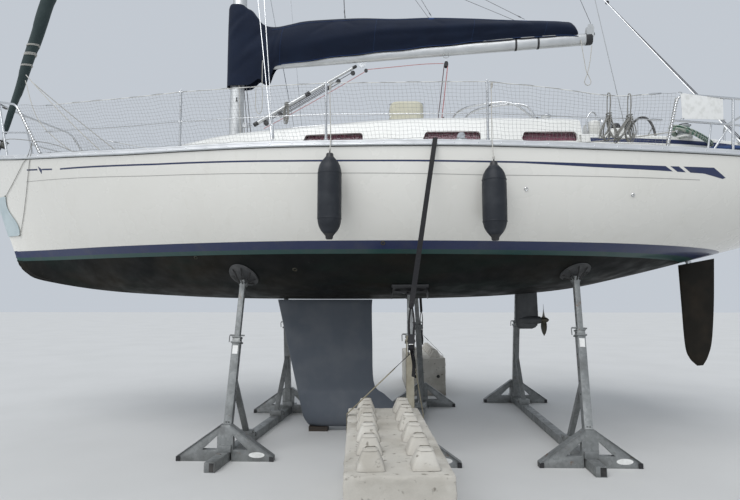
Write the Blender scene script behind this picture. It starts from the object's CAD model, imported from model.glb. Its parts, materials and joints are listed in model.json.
# %% [markdown]
# A sailing yacht laid up ashore, on a cradle of props and with a strap down each side.
# The solid model of the yacht is loaded first and stays where it is. Everything made here is in its frame:
# X runs aft, Y to starboard, Z up from the ground, in metres, and each piece rides on one of its bodies.

# %% Load the solid model
import json
import random
from math import atan2, copysign, cos, exp, hypot, pi, radians, sin

import bmesh
import bpy
from mathutils import Matrix, Vector, noise
from mathutils.bvhtree import BVHTree

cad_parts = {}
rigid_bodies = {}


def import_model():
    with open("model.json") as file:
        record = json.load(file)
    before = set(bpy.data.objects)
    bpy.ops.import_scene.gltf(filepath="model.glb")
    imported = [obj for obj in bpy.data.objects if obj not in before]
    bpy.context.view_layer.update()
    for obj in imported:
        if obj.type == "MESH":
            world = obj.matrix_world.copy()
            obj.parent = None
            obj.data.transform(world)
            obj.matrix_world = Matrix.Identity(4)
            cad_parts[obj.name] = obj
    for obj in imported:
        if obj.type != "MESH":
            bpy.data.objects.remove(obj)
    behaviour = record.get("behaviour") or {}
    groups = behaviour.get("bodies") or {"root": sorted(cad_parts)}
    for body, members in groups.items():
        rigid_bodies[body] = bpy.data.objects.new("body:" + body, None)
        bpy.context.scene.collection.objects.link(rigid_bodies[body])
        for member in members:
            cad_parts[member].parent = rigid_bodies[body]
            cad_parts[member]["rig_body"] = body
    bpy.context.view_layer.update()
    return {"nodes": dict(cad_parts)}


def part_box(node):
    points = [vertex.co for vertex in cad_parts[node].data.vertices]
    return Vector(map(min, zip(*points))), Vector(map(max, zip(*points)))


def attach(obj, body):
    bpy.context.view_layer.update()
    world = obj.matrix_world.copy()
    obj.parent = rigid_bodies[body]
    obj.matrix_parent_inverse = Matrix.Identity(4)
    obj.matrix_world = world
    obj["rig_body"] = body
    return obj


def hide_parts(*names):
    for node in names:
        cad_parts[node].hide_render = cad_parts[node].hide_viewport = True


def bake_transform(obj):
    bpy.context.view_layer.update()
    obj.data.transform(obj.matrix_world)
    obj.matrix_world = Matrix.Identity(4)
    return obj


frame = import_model()

# %% [markdown]
# The camera stands where the photographer did, a long step back from the keel and at eye height.
# A wide lens was used, so the near side looks large and the rig leaves the picture at the top.

# %% Camera
EYE = Vector((0.77, -6.43, 1.5))
LOOK_LEFT = radians(1.57)
LOOK_UP = radians(5.29)
SENSOR, LENS = 36, 26.27  # millimetres


def show(name, data):
    """An object in the scene that holds a mesh, a light or the camera."""
    holder = bpy.data.objects.new(name, data)
    bpy.context.scene.collection.objects.link(holder)
    return holder


def aim_camera():
    lens = bpy.data.cameras.new("yard_camera")
    lens.sensor_width, lens.lens = SENSOR, LENS
    camera = show("yard_camera", lens)
    camera.location = EYE
    camera.rotation_euler = (pi / 2 + LOOK_UP, 0, LOOK_LEFT)
    bpy.context.scene.camera = camera


aim_camera()
print("camera at", tuple(round(v, 2) for v in EYE))

# %% [markdown]
# Every form here is a list of points and faces. A small class gathers them, so that a winch or a stand
# is a few calls: rings joined into a skin, a tube along a path, a turned profile, a box with soft edges.
# Blender's own curve and bevel tools could do this too, but one mesh per piece exports more simply.


# %% Paths and rings
X, Y, Z = (1, 0, 0), (0, 1, 0), (0, 0, 1)
SIDES = ((-1, "port"), (1, "starboard"))


def pt(*xyz):
    return Vector(xyz)


def rise(height):
    return Vector((0, 0, height))


def along(table, x, column=1):
    """A value read from a table by its first column, on a smooth curve through the rows."""
    if x <= table[0][0]:
        return table[0][column]
    if x >= table[-1][0]:
        return table[-1][column]
    i = next(k for k, row in enumerate(table) if row[0] > x) - 1

    def slope(k):
        a, b = table[max(k - 1, 0)], table[min(k + 1, len(table) - 1)]
        return (b[column] - a[column]) / (b[0] - a[0])

    p, q = table[i], table[i + 1]
    span = q[0] - p[0]
    t = (x - p[0]) / span
    return (p[column] * (1 + 2 * t) * (1 - t) ** 2 + q[column] * t * t * (3 - 2 * t) + slope(i) * span * t
        * (1 - t) ** 2 - slope(i + 1) * span * t * t * (1 - t))


def spread(first, last, count):
    return [first + (last - first) * i / (count - 1) for i in range(count)]


def around(count):
    """Angles evenly round a circle."""
    return spread(0, 2 * pi, count + 1)[:-1]


def pressed(value, power):
    """A sine or cosine pressed out towards the corners of a square."""
    return copysign(abs(value) ** power, value)


def straight(table, x):
    """A value read from a table of two columns, on straight lines between its rows."""
    k = max(i for i in range(len(table) - 1) if i == 0 or table[i][0] <= x)
    (x0, y0), (x1, y1) = table[k:k + 2]
    return y0 + (y1 - y0) * (x - x0) / (x1 - x0)


def length_along(path):
    return sum((b - a).length for a, b in zip(path, path[1:]))


def smooth(points, steps=8):
    """A smooth line through the points."""
    points = [Vector(p) for p in points]
    line = []
    for i in range(len(points) - 1):
        a, b = points[i], points[i + 1]
        before, after = points[max(i - 1, 0)], points[min(i + 2, len(points) - 1)]
        for k in range(steps):
            t = k / steps
            line.append(0.5 * (2 * a + (b - before) * t + (2 * before - 5 * a + 4 * b - after) * t * t
                + (3 * a - before - 3 * b + after) * t ** 3))
    return line + [points[-1]]


def bent(points, radius, steps=6):
    """A path with straight legs and a round bend at each corner, as a bent tube has."""
    points = [Vector(p) for p in points]
    line = [points[0]]
    for a, b, c in zip(points, points[1:], points[2:]):
        back, forth = (a - b), (c - b)
        reach = min(radius, back.length * 0.45, forth.length * 0.45)
        start, end = b + back.normalized() * reach, b + forth.normalized() * reach
        for k in range(steps + 1):
            t = k / steps
            line.append(start * (1 - t) ** 2 + b * 2 * t * (1 - t) + end * t * t)
    return line + [points[-1]]


def sag(a, b, drop, count=13):
    """A line hung between two points, lower by the drop at its middle."""
    a, b = Vector(a), Vector(b)
    return [a.lerp(b, t) - rise(drop * 4 * t * (1 - t)) for t in spread(0, 1, count)]


def circle(centre, u, v, radius, count):
    centre, u, v = Vector(centre), Vector(u), Vector(v)
    return [centre + u * radius * cos(a) + v * radius * sin(a) for a in around(count)]


def arcs(corners, radius):
    """A rounded outline: each corner gives its centre and the degrees at which its arc starts."""
    return [(x + radius * cos(a), y + radius * sin(a)) for x, y, start in corners
        for a in (radians(start + turn) for turn in spread(0, 90, 6))]


# %% Forms: points and faces gathered for one mesh
class Form:
    """Each face keeps the number of its finish."""

    def __init__(self):
        self.points, self.faces, self.finish = [], [], []

    def add(self, points, faces, finish=0):
        start = len(self.points)
        self.points += [Vector(p) for p in points]
        self.faces += [[start + i for i in face] for face in faces]
        self.finish += [finish] * len(faces)
        return self

    def rings(self, rings, finish=0, ends=True, closed=True, loop=False):
        """A skin over rings of the same number of points."""
        count = len(rings[0])
        wrap = count if closed else count - 1
        faces = []
        for r in range(len(rings) if loop else len(rings) - 1):
            s = (r + 1) % len(rings)
            for i in range(wrap):
                j = (i + 1) % count
                faces.append([r * count + i, r * count + j, s * count + j, s * count + i])
        if ends and not loop:
            faces.append(list(range(count))[::-1])
            faces.append([(len(rings) - 1) * count + i for i in range(count)])
        return self.add([p for ring in rings for p in ring], faces, finish)

    def tube(self, path, radius, sides=10, finish=0, loop=False, flat=1):
        """A round tube, or an oval one where flat is under 1. The radius may be a list."""
        path = [Vector(p) for p in path]
        last = len(path) - 1
        radii = radius if isinstance(radius, (list, tuple)) else [radius] * len(path)
        ways = []
        for i in range(len(path)):
            a = path[(i - 1) % len(path)] if loop else path[max(i - 1, 0)]
            b = path[(i + 1) % len(path)] if loop else path[min(i + 1, last)]
            ways.append((b - a).normalized())
        side = ways[0].cross(Vector(Z))
        if side.length < 0.1:
            side = ways[0].cross(Vector(Y))
        side.normalize()
        rings = []
        for point, way, r in zip(path, ways, radii):
            side = (side - way * side.dot(way)).normalized()
            rings.append(circle(point, side, way.cross(side) * flat, r, sides))
        return self.rings(rings, finish, loop=loop)

    def turned(self, profile, at, axis=Z, steps=24, finish=0):
        """A profile of radius and height, turned round an axis from a point."""
        axis, at = Vector(axis).normalized(), Vector(at)
        u = axis.orthogonal().normalized()
        v = axis.cross(u)
        rings = [circle(at + axis * h, u, v, max(r, 1e-4), steps) for r, h in profile]
        return self.rings(rings, finish)

    def sheave(self, rim, waist, half, at, axis=Y, steps=16, finish=0):
        """A wheel or knob whose radius changes from its rims to its middle."""
        return self.turned([(rim, -half), (waist, 0), (rim, half)], at, axis, steps, finish)

    def pin(self, radius, half, at, axis=Y, steps=16, finish=0):
        return self.turned([(radius, -half), (radius, half)], at, axis, steps, finish)

    def patch(self, rows, finish=0):
        """An open skin over rows of points."""
        return self.rings(rows, finish, ends=False, closed=False)

    def face(self, points, finish=0, flip=False):
        order = list(range(len(points)))
        return self.add(points, [order[::-1] if flip else order], finish)

    def box(self, low, high, finish=0):
        corners = [(x, y, z) for z in (low[2], high[2]) for x, y in ((low[0], low[1]), (high[0], low[1]),
            (high[0], high[1]), (low[0], high[1]))]
        return self.rings([corners[:4], corners[4:]], finish)

    def block(self, x, y, half_x, half_y, low, high, finish=0):
        """A box about a place, from one height to another."""
        return self.box((x - half_x, y - half_y, low), (x + half_x, y + half_y, high), finish)

    def slab(self, x0, x1, half, low, high, finish=0):
        """A box that lies across the middle line."""
        return self.box((x0, -half, low), (x1, half, high), finish)

    def bar(self, a, b, wide, thick, across=X, finish=0):
        """A straight bar of rectangular section between two points."""
        a, b = Vector(a), Vector(b)
        axis = (b - a).normalized()
        u = Vector(across)
        u = (u - axis * u.dot(axis)).normalized()
        v = axis.cross(u)
        corners = ((-1, -1), (1, -1), (1, 1), (-1, 1))
        return self.rings([[p + u * s * wide / 2 + v * t * thick / 2 for s, t in corners] for p in (a, b)],
            finish)

    def extrude(self, outline, push, finish=0):
        """A flat outline pushed along a vector."""
        push = Vector(push)
        outline = [Vector(p) for p in outline]
        return self.rings([outline, [p + push for p in outline]], finish)


# %% Pieces: a form becomes a mesh that rides on a body
def make(name, form, finishes, body="root", replaces=(), crease=32, open_skin=False):
    mesh = bpy.data.meshes.new(name)
    mesh.from_pydata([tuple(p) for p in form.points], [], form.faces)
    for finish in finishes:
        mesh.materials.append(finish)
    mesh.polygons.foreach_set("material_index", form.finish)
    work = bmesh.new()
    work.from_mesh(mesh)
    bmesh.ops.remove_doubles(work, verts=work.verts, dist=1e-6)
    if not open_skin:
        bmesh.ops.recalc_face_normals(work, faces=work.faces)
    work.to_mesh(mesh)
    work.free()
    piece = show(name, mesh)
    shade(piece, crease)
    return place(piece, body, replaces)


def shade(piece, crease=32):
    piece.data.polygons.foreach_set("use_smooth", [True] * len(piece.data.polygons))
    piece.data.set_sharp_from_angle(angle=radians(crease))


def place(piece, body="root", replaces=()):
    if body:
        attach(piece, body)
    if replaces:
        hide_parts(*([replaces] if isinstance(replaces, str) else replaces))
    return piece


def modify(piece, kind, **settings):
    """Run one modifier on a piece and keep its result as plain mesh."""
    modifier = piece.modifiers.new(kind.lower(), kind)
    for key, value in settings.items():
        setattr(modifier, key, value)
    bpy.context.view_layer.update()
    graph = bpy.context.evaluated_depsgraph_get()
    mesh = bpy.data.meshes.new_from_object(piece.evaluated_get(graph))
    piece.modifiers.remove(modifier)
    piece.data = mesh
    return piece


def soften(piece, width, segments=2, crease=32):
    """Round a piece's hard edges, as moulded, cast and rolled things have them."""
    modify(piece, "BEVEL", width=width, segments=segments, limit_method="ANGLE", angle_limit=radians(30))
    shade(piece, crease)
    return piece


def bend_with_boom(piece, start, end):
    """Share a piece between the yacht and the boom: it bends between two places."""
    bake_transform(piece)


def refine(node, finishes, bevel, segments=2, paint=None):
    """A smoother stand-in for a solid whose form is right: its flat faces are joined, its edges rounded.
    paint gives the number of a face's finish from its middle."""
    source = frame["nodes"][node]
    work = bmesh.new()
    work.from_mesh(source.data)
    bmesh.ops.remove_doubles(work, verts=work.verts, dist=2e-5)
    bmesh.ops.dissolve_limit(work, angle_limit=radians(1.5), verts=work.verts, edges=work.edges)
    mesh = bpy.data.meshes.new(f"{node}_dressed")
    work.to_mesh(mesh)
    work.free()
    mesh.materials.clear()
    for finish in finishes:
        mesh.materials.append(finish)
    for face in mesh.polygons:
        face.material_index = paint(face.center) if paint else 0
    piece = place(show(f"{node}_dressed", mesh), source["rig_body"], node)
    return soften(piece, bevel, segments)


# %% [markdown]
# Materials are built up in layers, like paint: a base, other colours laid over it where a noise says so,
# then the bump. Textures are placed by the object's own coordinates, so nothing slides when a part moves.


# %% Finishes in layers
class Finish:
    def __init__(self, name, colour, roughness, metallic=0, sockets=None):
        self.material = bpy.data.materials.new(name)
        self.material.use_nodes = True
        self.material.diffuse_color = (*colour, 1)
        self.tree = self.material.node_tree
        self.link = self.tree.links.new
        self.shader = self.tree.nodes["Principled BSDF"]
        values = {"Base Color": (*colour, 1), "Roughness": roughness, "Metallic": metallic}
        for socket, value in {**values, **(sockets or {})}.items():
            self.shader.inputs[socket].default_value = value
        self.place = self.tree.nodes.new("ShaderNodeTexCoord").outputs["Object"]
        self.normal = None

    def node(self, kind, **values):
        node = self.tree.nodes.new("ShaderNode" + kind)
        for key, value in values.items():
            node.inputs[key].default_value = value
        return node

    def stretched(self, stretch):
        mapping = self.node("Mapping", Scale=stretch)
        self.link(self.place, mapping.inputs["Vector"])
        return mapping.outputs["Vector"]

    def cloud(self, scale, stretch=(1, 1, 1), detail=4):
        """A drifting noise round 0.5."""
        texture = self.node("TexNoise", Scale=scale, Detail=detail)
        self.link(self.stretched(stretch), texture.inputs["Vector"])
        return texture.outputs[0]

    def cells(self, scale, output="Color"):
        texture = self.node("TexVoronoi", Scale=scale)
        self.link(self.stretched((1, 1, 1)), texture.inputs["Vector"])
        return texture.outputs[output]

    def bands(self, scale, direction="Z", stretch=(1, 1, 1), distortion=0):
        texture = self.node("TexWave", Scale=scale, Distortion=distortion)
        texture.bands_direction = direction
        self.link(self.stretched(stretch), texture.inputs["Vector"])
        return texture.outputs[1]

    def height(self):
        """The place's height above the ground."""
        split = self.node("SeparateXYZ")
        self.link(self.place, split.inputs[0])
        return split.outputs["Z"]

    def ranged(self, mask, low, high, to_low, to_high):
        change = self.node("MapRange")
        for i, value in enumerate((low, high, to_low, to_high), start=1):
            change.inputs[i].default_value = value
        self.link(mask, change.inputs[0])
        return change.outputs[0]

    def times(self, a, b):
        product = self.node("Math")
        product.operation = "MULTIPLY"
        self.link(a, product.inputs[0])
        self.link(b, product.inputs[1])
        return product.outputs[0]

    def lay(self, colour, mask, low=0.45, high=0.65, strength=1):
        """Lay another colour over what is there, where the mask goes from low to high."""
        mix = self.node("Mix")
        mix.data_type = "RGBA"
        base = self.shader.inputs["Base Color"]
        if base.is_linked:
            self.link(base.links[0].from_socket, mix.inputs[6])
        else:
            mix.inputs[6].default_value = base.default_value
        mix.inputs[7].default_value = (*colour, 1)
        self.link(self.ranged(mask, low, high, 0, strength), mix.inputs[0])
        self.link(mix.outputs[2], base)
        return self

    def rough(self, mask, low, high):
        self.link(self.ranged(mask, 0.3, 0.7, low, high), self.shader.inputs["Roughness"])
        return self

    def bump(self, mask, distance, strength=1):
        """Raise the surface by the mask, by a real height in metres."""
        bump = self.node("Bump", Strength=strength, Distance=distance)
        self.link(mask, bump.inputs["Height"])
        if self.normal:
            self.link(self.normal, bump.inputs["Normal"])
        self.normal = bump.outputs["Normal"]
        self.link(self.normal, self.shader.inputs["Normal"])
        return self


# %% [markdown]
# The hull is sprayed gelcoat: glossy, a warm grey white, with faint rain streaks and a little chalking.
# Below the stripe it is antifouling paint, matt and nearly black, with brown and green worn through it.


# %% Finishes of the hull and deck
DULL = {"Specular IOR Level": 0.16}


def gelcoat(name, colour, streaks=0.25):
    coat = Finish(name, colour, 0.24, sockets={"Coat Weight": 0.35, "Coat Roughness": 0.12})
    coat.lay((0.66, 0.64, 0.57), coat.cloud(1.6, detail=6), 0.5, 0.85, 0.25)
    coat.lay((0.5, 0.47, 0.38), coat.cloud(5, stretch=(2, 2, 0.25)), 0.6, 0.85, streaks * 0.6)
    coat.rough(coat.cloud(3), 0.18, 0.34)
    return coat.bump(coat.cloud(2.2), 0.002, 0.25).material


def antifouling():
    paint = Finish("antifouling", (0.006, 0.007, 0.007), 0.66, sockets=DULL)
    paint.lay((0.017, 0.014, 0.009), paint.cloud(1.4, detail=8), 0.42, 0.7)
    paint.lay((0.006, 0.014, 0.011), paint.cloud(2.6, stretch=(0.5, 1, 2)), 0.5, 0.75, 0.8)
    paint.lay((0.045, 0.041, 0.033), paint.cloud(34, detail=8), 0.66, 0.74, 0.45)
    paint.rough(paint.cloud(6), 0.48, 0.78)
    return paint.bump(paint.cloud(45, detail=6), 0.0012, 0.5).material


def stripe_paint(name, colour):
    paint = Finish(name, colour, 0.3, sockets={"Coat Weight": 0.2})
    paint.lay([0.6 * c + 0.03 for c in colour], paint.cloud(7, detail=6), 0.5, 0.75, 0.7)
    return paint.bump(paint.cloud(30), 0.0006, 0.3).material


def nonskid():
    """Deck moulded with a fine grain, duller and greyer than the gloss round it."""
    grip = Finish("deck_nonskid", (0.52, 0.525, 0.505), 0.6)
    grip.lay((0.4, 0.395, 0.36), grip.cloud(3.5, detail=7), 0.45, 0.75, 0.6)
    return grip.bump(grip.cells(260, output="Distance"), 0.0012, 0.9).material


TOPSIDES = gelcoat("topsides_gelcoat", (0.78, 0.765, 0.715))
DECK_WHITE = gelcoat("deck_gelcoat", (0.8, 0.8, 0.77), 0.12)
ANTIFOULING = antifouling()
NAVY_PAINT = stripe_paint("navy_stripe", (0.013, 0.024, 0.085))
GREEN_PAINT = stripe_paint("green_stripe", (0.01, 0.055, 0.05))
GREY_LINE = stripe_paint("grey_line", (0.36, 0.35, 0.33))
NONSKID = nonskid()

# %% [markdown]
# Metals differ by how they are made. Stainless tube is polished, anodised spars are satin and drawn
# lengthwise, and hot-dip galvanised steel shows flat crystals of zinc with dull patches and some rust.


# %% Finishes of metal
def stainless():
    steel = Finish("polished_stainless", (0.66, 0.67, 0.68), 0.2, 1)
    steel.lay((0.42, 0.36, 0.29), steel.cloud(14, detail=6), 0.6, 0.85, 0.5)
    steel.rough(steel.cloud(20), 0.14, 0.36)
    return steel.bump(steel.cloud(160), 0.0003, 0.3).material


def anodised(name, colour, grain):
    alloy = Finish(name, colour, 0.38, 0.85)
    alloy.lay([0.8 * c for c in colour], alloy.cloud(5, detail=5), 0.45, 0.75, 0.7)
    alloy.rough(alloy.cloud(8), 0.3, 0.5)
    return alloy.bump(alloy.cloud(60, stretch=grain), 0.0004, 0.5).material


def galvanised():
    zinc = Finish("galvanised_steel", (0.225, 0.235, 0.235), 0.52, 0.6)
    zinc.lay((0.32, 0.33, 0.325), zinc.cells(42), 0.2, 0.9, 0.6)
    zinc.lay((0.135, 0.138, 0.135), zinc.cloud(5, detail=8), 0.48, 0.72, 0.75)
    zinc.lay((0.15, 0.07, 0.032), zinc.cloud(11, detail=9), 0.66, 0.76, 0.8)
    zinc.rough(zinc.cloud(12), 0.38, 0.72)
    return zinc.bump(zinc.cloud(70, detail=6), 0.0008, 0.5).material


def bronze():
    metal = Finish("old_bronze", (0.085, 0.075, 0.055), 0.5, 0.7)
    metal.lay((0.035, 0.045, 0.04), metal.cloud(16, detail=7), 0.45, 0.7, 0.8)
    return metal.bump(metal.cloud(90), 0.0008, 0.5).material


STAINLESS = stainless()
SPAR = anodised("anodised_spar", (0.6, 0.61, 0.61), (1, 1, 0.03))
RAIL_ALLOY = anodised("rail_alloy", (0.8, 0.81, 0.82), (0.03, 1, 1))
GALVANISED = galvanised()
BRONZE = bronze()


# %% Finishes of paint, plastic, rubber and glass
def plain_paint(name, colour, other, roughness, scale=8, bump=0.0008, sockets=None, metallic=0):
    """A dull coat with a second colour worn through it."""
    coat = Finish(name, colour, roughness, metallic, sockets)
    coat.lay(other, coat.cloud(scale, detail=7), 0.47, 0.72, 0.75)
    coat.rough(coat.cloud(scale * 1.7), roughness * 0.8, min(1, roughness * 1.25))
    return coat.bump(coat.cloud(scale * 9, detail=6), bump, 0.6).material


def smoked(name, colour, clear, roughness=0.06):
    """A tinted pane: a share of what is behind it shows through."""
    pane = Finish(name, colour, roughness, sockets={"Alpha": 1 - clear, "IOR": 1.49, "Coat Weight": 0.5})
    pane.lay([0.6 * c for c in colour], pane.cloud(6), 0.4, 0.8, 0.5)
    return pane.bump(pane.cloud(5), 0.0004, 0.2).material


KEEL_GREY = plain_paint("keel_primer", (0.075, 0.088, 0.108), (0.115, 0.125, 0.14), 0.55, 3)
RUDDER_BROWN = plain_paint("rudder_antifouling", (0.013, 0.011, 0.008), (0.032, 0.024, 0.016), 0.5, 4,
    sockets=DULL)
DRIVE_GREY = plain_paint("drive_enamel", (0.04, 0.043, 0.046), (0.07, 0.072, 0.074), 0.5, 9)
BLACK_PLASTIC = plain_paint("black_plastic", (0.018, 0.018, 0.02), (0.035, 0.035, 0.036), 0.42, 18)
RUBBER = plain_paint("pad_rubber", (0.022, 0.022, 0.022), (0.065, 0.062, 0.058), 0.75, 12)
WHITE_PLASTIC = plain_paint("white_plastic", (0.74, 0.74, 0.71), (0.62, 0.61, 0.56), 0.35, 9)
GREY_PLASTIC = plain_paint("grey_plastic", (0.4, 0.42, 0.43), (0.3, 0.31, 0.32), 0.4, 14)
VINYL = plain_paint("fender_vinyl", (0.018, 0.021, 0.027), (0.036, 0.04, 0.046), 0.48, 7,
    sockets={"Specular IOR Level": 0.3})
ENGINE_GREEN = plain_paint("engine_enamel", (0.05, 0.09, 0.075), (0.03, 0.05, 0.045), 0.4, 12)
STICKER = plain_paint("blank_sticker", (0.78, 0.78, 0.76), (0.6, 0.6, 0.57), 0.4, 20)
CABIN_PALE = plain_paint("cabin_lining", (0.62, 0.59, 0.52), (0.5, 0.46, 0.38), 0.7, 3)
DARK_ACRYLIC = smoked("dark_acrylic", (0.03, 0.03, 0.034), 0.12)
WINDOW_GLASS = smoked("window_acrylic", (0.022, 0.018, 0.022), 0.8, 0.03)

# %% [markdown]
# Cloth shows a weave close to and folds from afar. The weave is two crossed bands of fine bump, and the
# folds are in the meshes. Rope is laid or braided, so its bands run on a slant round it.


# %% Finishes of cloth, rope, timber and concrete
def cloth(name, colour, faded, thread=110):
    weave = Finish(name, colour, 0.85, sockets={"Sheen Weight": 0.08, "Specular IOR Level": 0.25})
    weave.lay(faded, weave.cloud(2.3, detail=7), 0.42, 0.75, 0.8)
    weave.lay([1.25 * c for c in faded], weave.cloud(40, detail=6), 0.55, 0.75, 0.35)
    weave.bump(weave.times(weave.bands(thread, "Z"), weave.bands(thread, "X")), 0.0006, 0.5)
    return weave.bump(weave.cloud(14), 0.004, 0.35).material


def rope_finish(name, colour, fleck, scale=60, share=0.55):
    line = Finish(name, colour, 0.8, sockets={"Sheen Weight": 0.2})
    line.lay(fleck, line.bands(scale, "DIAGONAL", distortion=1.5), share, share + 0.12)
    line.lay([0.55 * c for c in colour], line.cloud(30, detail=5), 0.55, 0.75, 0.4)
    return line.bump(line.bands(scale * 2.2, "DIAGONAL"), 0.0012, 0.7).material


def concrete():
    cast = Finish("cast_concrete", (0.5, 0.475, 0.425), 0.85)
    cast.lay((0.33, 0.305, 0.26), cast.cloud(2.4, detail=9), 0.45, 0.7, 0.85)
    cast.lay((0.6, 0.58, 0.53), cast.cloud(7, detail=9), 0.52, 0.7, 0.6)
    cast.lay((0.15, 0.135, 0.11), cast.cloud(26, detail=8), 0.62, 0.72, 0.8)
    cast.lay((0.12, 0.11, 0.095), cast.height(), 0.1, 0, 0.6)
    cast.bump(cast.cloud(18, detail=9), 0.006, 0.6)
    return cast.bump(cast.cells(110, output="Distance"), 0.002, 0.35).material


def timber(name, colour, dark):
    wood = Finish(name, colour, 0.6)
    wood.lay(dark, wood.bands(3.5, "Y", (0.25, 6, 6), 6), 0.35, 0.8, 0.8)
    wood.lay([0.4 * c for c in dark], wood.cloud(18, (0.15, 1, 1), 8), 0.55, 0.75, 0.7)
    return wood.bump(wood.cloud(40, (0.1, 1, 1), 7), 0.002, 0.6).material


NAVY_CLOTH = cloth("navy_acrylic_cloth", (0.0035, 0.0085, 0.024), (0.006, 0.014, 0.037))
UV_CLOTH = cloth("headsail_strip", (0.03, 0.046, 0.047), (0.055, 0.074, 0.072))
BEIGE_CANVAS = cloth("beige_canvas", (0.55, 0.53, 0.42), (0.63, 0.61, 0.5))
CURTAIN_PINK = cloth("curtain_mauve", (0.6, 0.24, 0.32), (0.74, 0.36, 0.43), thread=60)
CUSHION_BLUE = cloth("navy_cushion", (0.02, 0.045, 0.13), (0.035, 0.068, 0.17))
WEBBING = cloth("black_webbing", (0.014, 0.014, 0.016), (0.035, 0.034, 0.034), thread=50)
SLING_KHAKI = cloth("khaki_sling", (0.2, 0.175, 0.115), (0.28, 0.25, 0.17), thread=50)
PAD_RUBBER = plain_paint("pad_facing", (0.055, 0.056, 0.058), (0.11, 0.11, 0.11), 0.7, 9, 0.0015)
POST_KHAKI = plain_paint("khaki_post", (0.215, 0.195, 0.145), (0.29, 0.275, 0.225), 0.55, 6, 0.0012,
    metallic=0.3)
LEATHER = plain_paint("wheel_leather", (0.035, 0.033, 0.032), (0.06, 0.055, 0.05), 0.6, 25, 0.0015)
ROPE_WHITE = rope_finish("rope_white", (0.6, 0.58, 0.53), (0.42, 0.41, 0.38))
ROPE_GREY = rope_finish("rope_grey", (0.33, 0.32, 0.29), (0.18, 0.18, 0.17))
ROPE_GREEN = rope_finish("rope_green", (0.56, 0.58, 0.52), (0.1, 0.24, 0.17), 45, 0.45)
ROPE_RED = rope_finish("rope_red", (0.45, 0.03, 0.045), (0.62, 0.5, 0.48), 55, 0.6)
ROPE_DARK = rope_finish("rope_dark", (0.05, 0.05, 0.055), (0.16, 0.16, 0.17))
NET_CORD = rope_finish("net_cord", (0.34, 0.34, 0.33), (0.22, 0.22, 0.22), 80)
CONCRETE = concrete()
WET_TIMBER = timber("wet_timber", (0.04, 0.03, 0.022), (0.018, 0.013, 0.009))
TEAK = timber("cabin_teak", (0.26, 0.13, 0.06), (0.15, 0.07, 0.03))
print("finishes", len(bpy.data.materials))

# %% [markdown]
# Loose rope is what makes a boat look used. The winch carries turns of sheet with the rest hung over it, two
# coils hang on the lifeline, and spare ends are tied up on the vang, by the mast and at the boom's end.
# Each is one round tube on a path, with a kind of wave, so its strands cross but stay apart.


# %% Paths of coils
def coil_path(top, low, loops, width, seed):
    """Long loops hung over one place, from the top of the hank to its bottom."""
    rand = random.Random(seed)
    path = []
    for k in range(loops):
        turn = rand.uniform(-0.9, 0.9)
        across = pt(cos(turn), sin(turn), 0)
        wide = width * rand.uniform(0.7, 1.15)
        drop = (low - top) * rand.uniform(0.84, 1)
        shift = pt(rand.uniform(-1, 1), rand.uniform(-1, 1), 0) * 0.0096
        for a in around(14):
            down = (1 - cos(a)) / 2
            belly = 0.3 + 0.7 * sin(pi * min(1, down * 0.62 + 0.1)) ** 1.3
            path.append(top + drop * down + across * (sin(a) * wide * belly) + shift * (0.4 + down))
    return path


def lay_rope(name, path, radius, finish, body="root"):
    path = smooth(path, 2)
    rope = make(name, Form().tube(path, radius, 8), [finish], body, crease=80)
    print(name, "length", round(length_along(path), 2), "m")


# %% Coils on the lifeline and the winch
LIFELINE_COILS = [("coil_fore", 2.838, 3.392, 3.165, 9, 0.1), ("coil_aft", 3.035, 3.39, 3.155, 10, 0.12)]


def hank_path(x, wire, neck, loops, fan, seed):
    """Up over the wire in a doubled line, then loops that fall from the neck in a messy fan."""
    y = rail_y(x)
    rand = random.Random(seed)
    path = [pt(x - 0.014, y + 0.012, neck), pt(x - 0.013, y + 0.009, (wire + neck) / 2),
        pt(x - 0.006, y + 0.006, wire), pt(x + 0.004, y - 0.003, wire + 0.01),
        pt(x + 0.012, y - 0.01, wire - 0.01), pt(x + 0.014, y + 0.004, (wire + neck) / 2),
        pt(x + 0.006, y + 0.014, neck + 0.01)]
    for k in range(loops):
        lean = fan * ((k * 5 % loops) / (loops - 1) * 2 - 1)
        deep = rand.uniform(0.195, 0.232)
        layer = 0.0112 * (k - loops / 2)
        wide = rand.uniform(0.02, 0.034)
        for a in around(9):
            down = (1 - cos(a)) / 2
            path.append(pt(x + lean * down ** 1.3 + wide * sin(a) * (0.55 + down), y + 0.03 + layer,
                neck + 0.03 - deep * down))
    return path


def build_lifeline_coils():
    for name, x, wire, neck, loops, fan in LIFELINE_COILS:
        lay_rope(f"lifeline_{name}", hank_path(x, wire, neck, loops, fan, name), 0.0052, ROPE_GREY)


def rail_y(x):
    """The y of the port upper lifeline."""
    return 0.04 - straight(RAIL_BEAMS, x)


WINCH = (3.765, 1.07)
RAIL_BEAMS = [(2.1, 1.63), (2.9, 1.575), (3.6, 1.485), (4.238, 1.36)]


def build_winch_coil():
    """Turns round the drum, then a long hank dropped over the winch, high at its fore end."""
    cx, cy, base = WINCH[0], -WINCH[1], 3.075
    path = []
    for k in range(37):
        a = 2 * pi * k / 12
        path.append(pt(cx + 0.051 * cos(a), cy + 0.051 * sin(a), base + 0.01 + 0.0034 * k))
    rand = random.Random(5)
    for k in range(8):
        grow, lift = 0.0125 * (k % 4), 0.026 * (k // 4) + rand.uniform(0, 0.004)
        long, wide = 0.166 + grow, 0.074 + grow
        for a in around(16):
            x = long * cos(a) + 0.07
            path.append(pt(cx + x, cy + wide * sin(a), 3.122 + lift - 0.44 * (x - 0.05) + 0.01 * sin(2 * a)))
    lay_rope("winch_coil", path, 0.006, ROPE_GREEN)


build_lifeline_coils()
build_winch_coil()


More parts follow.
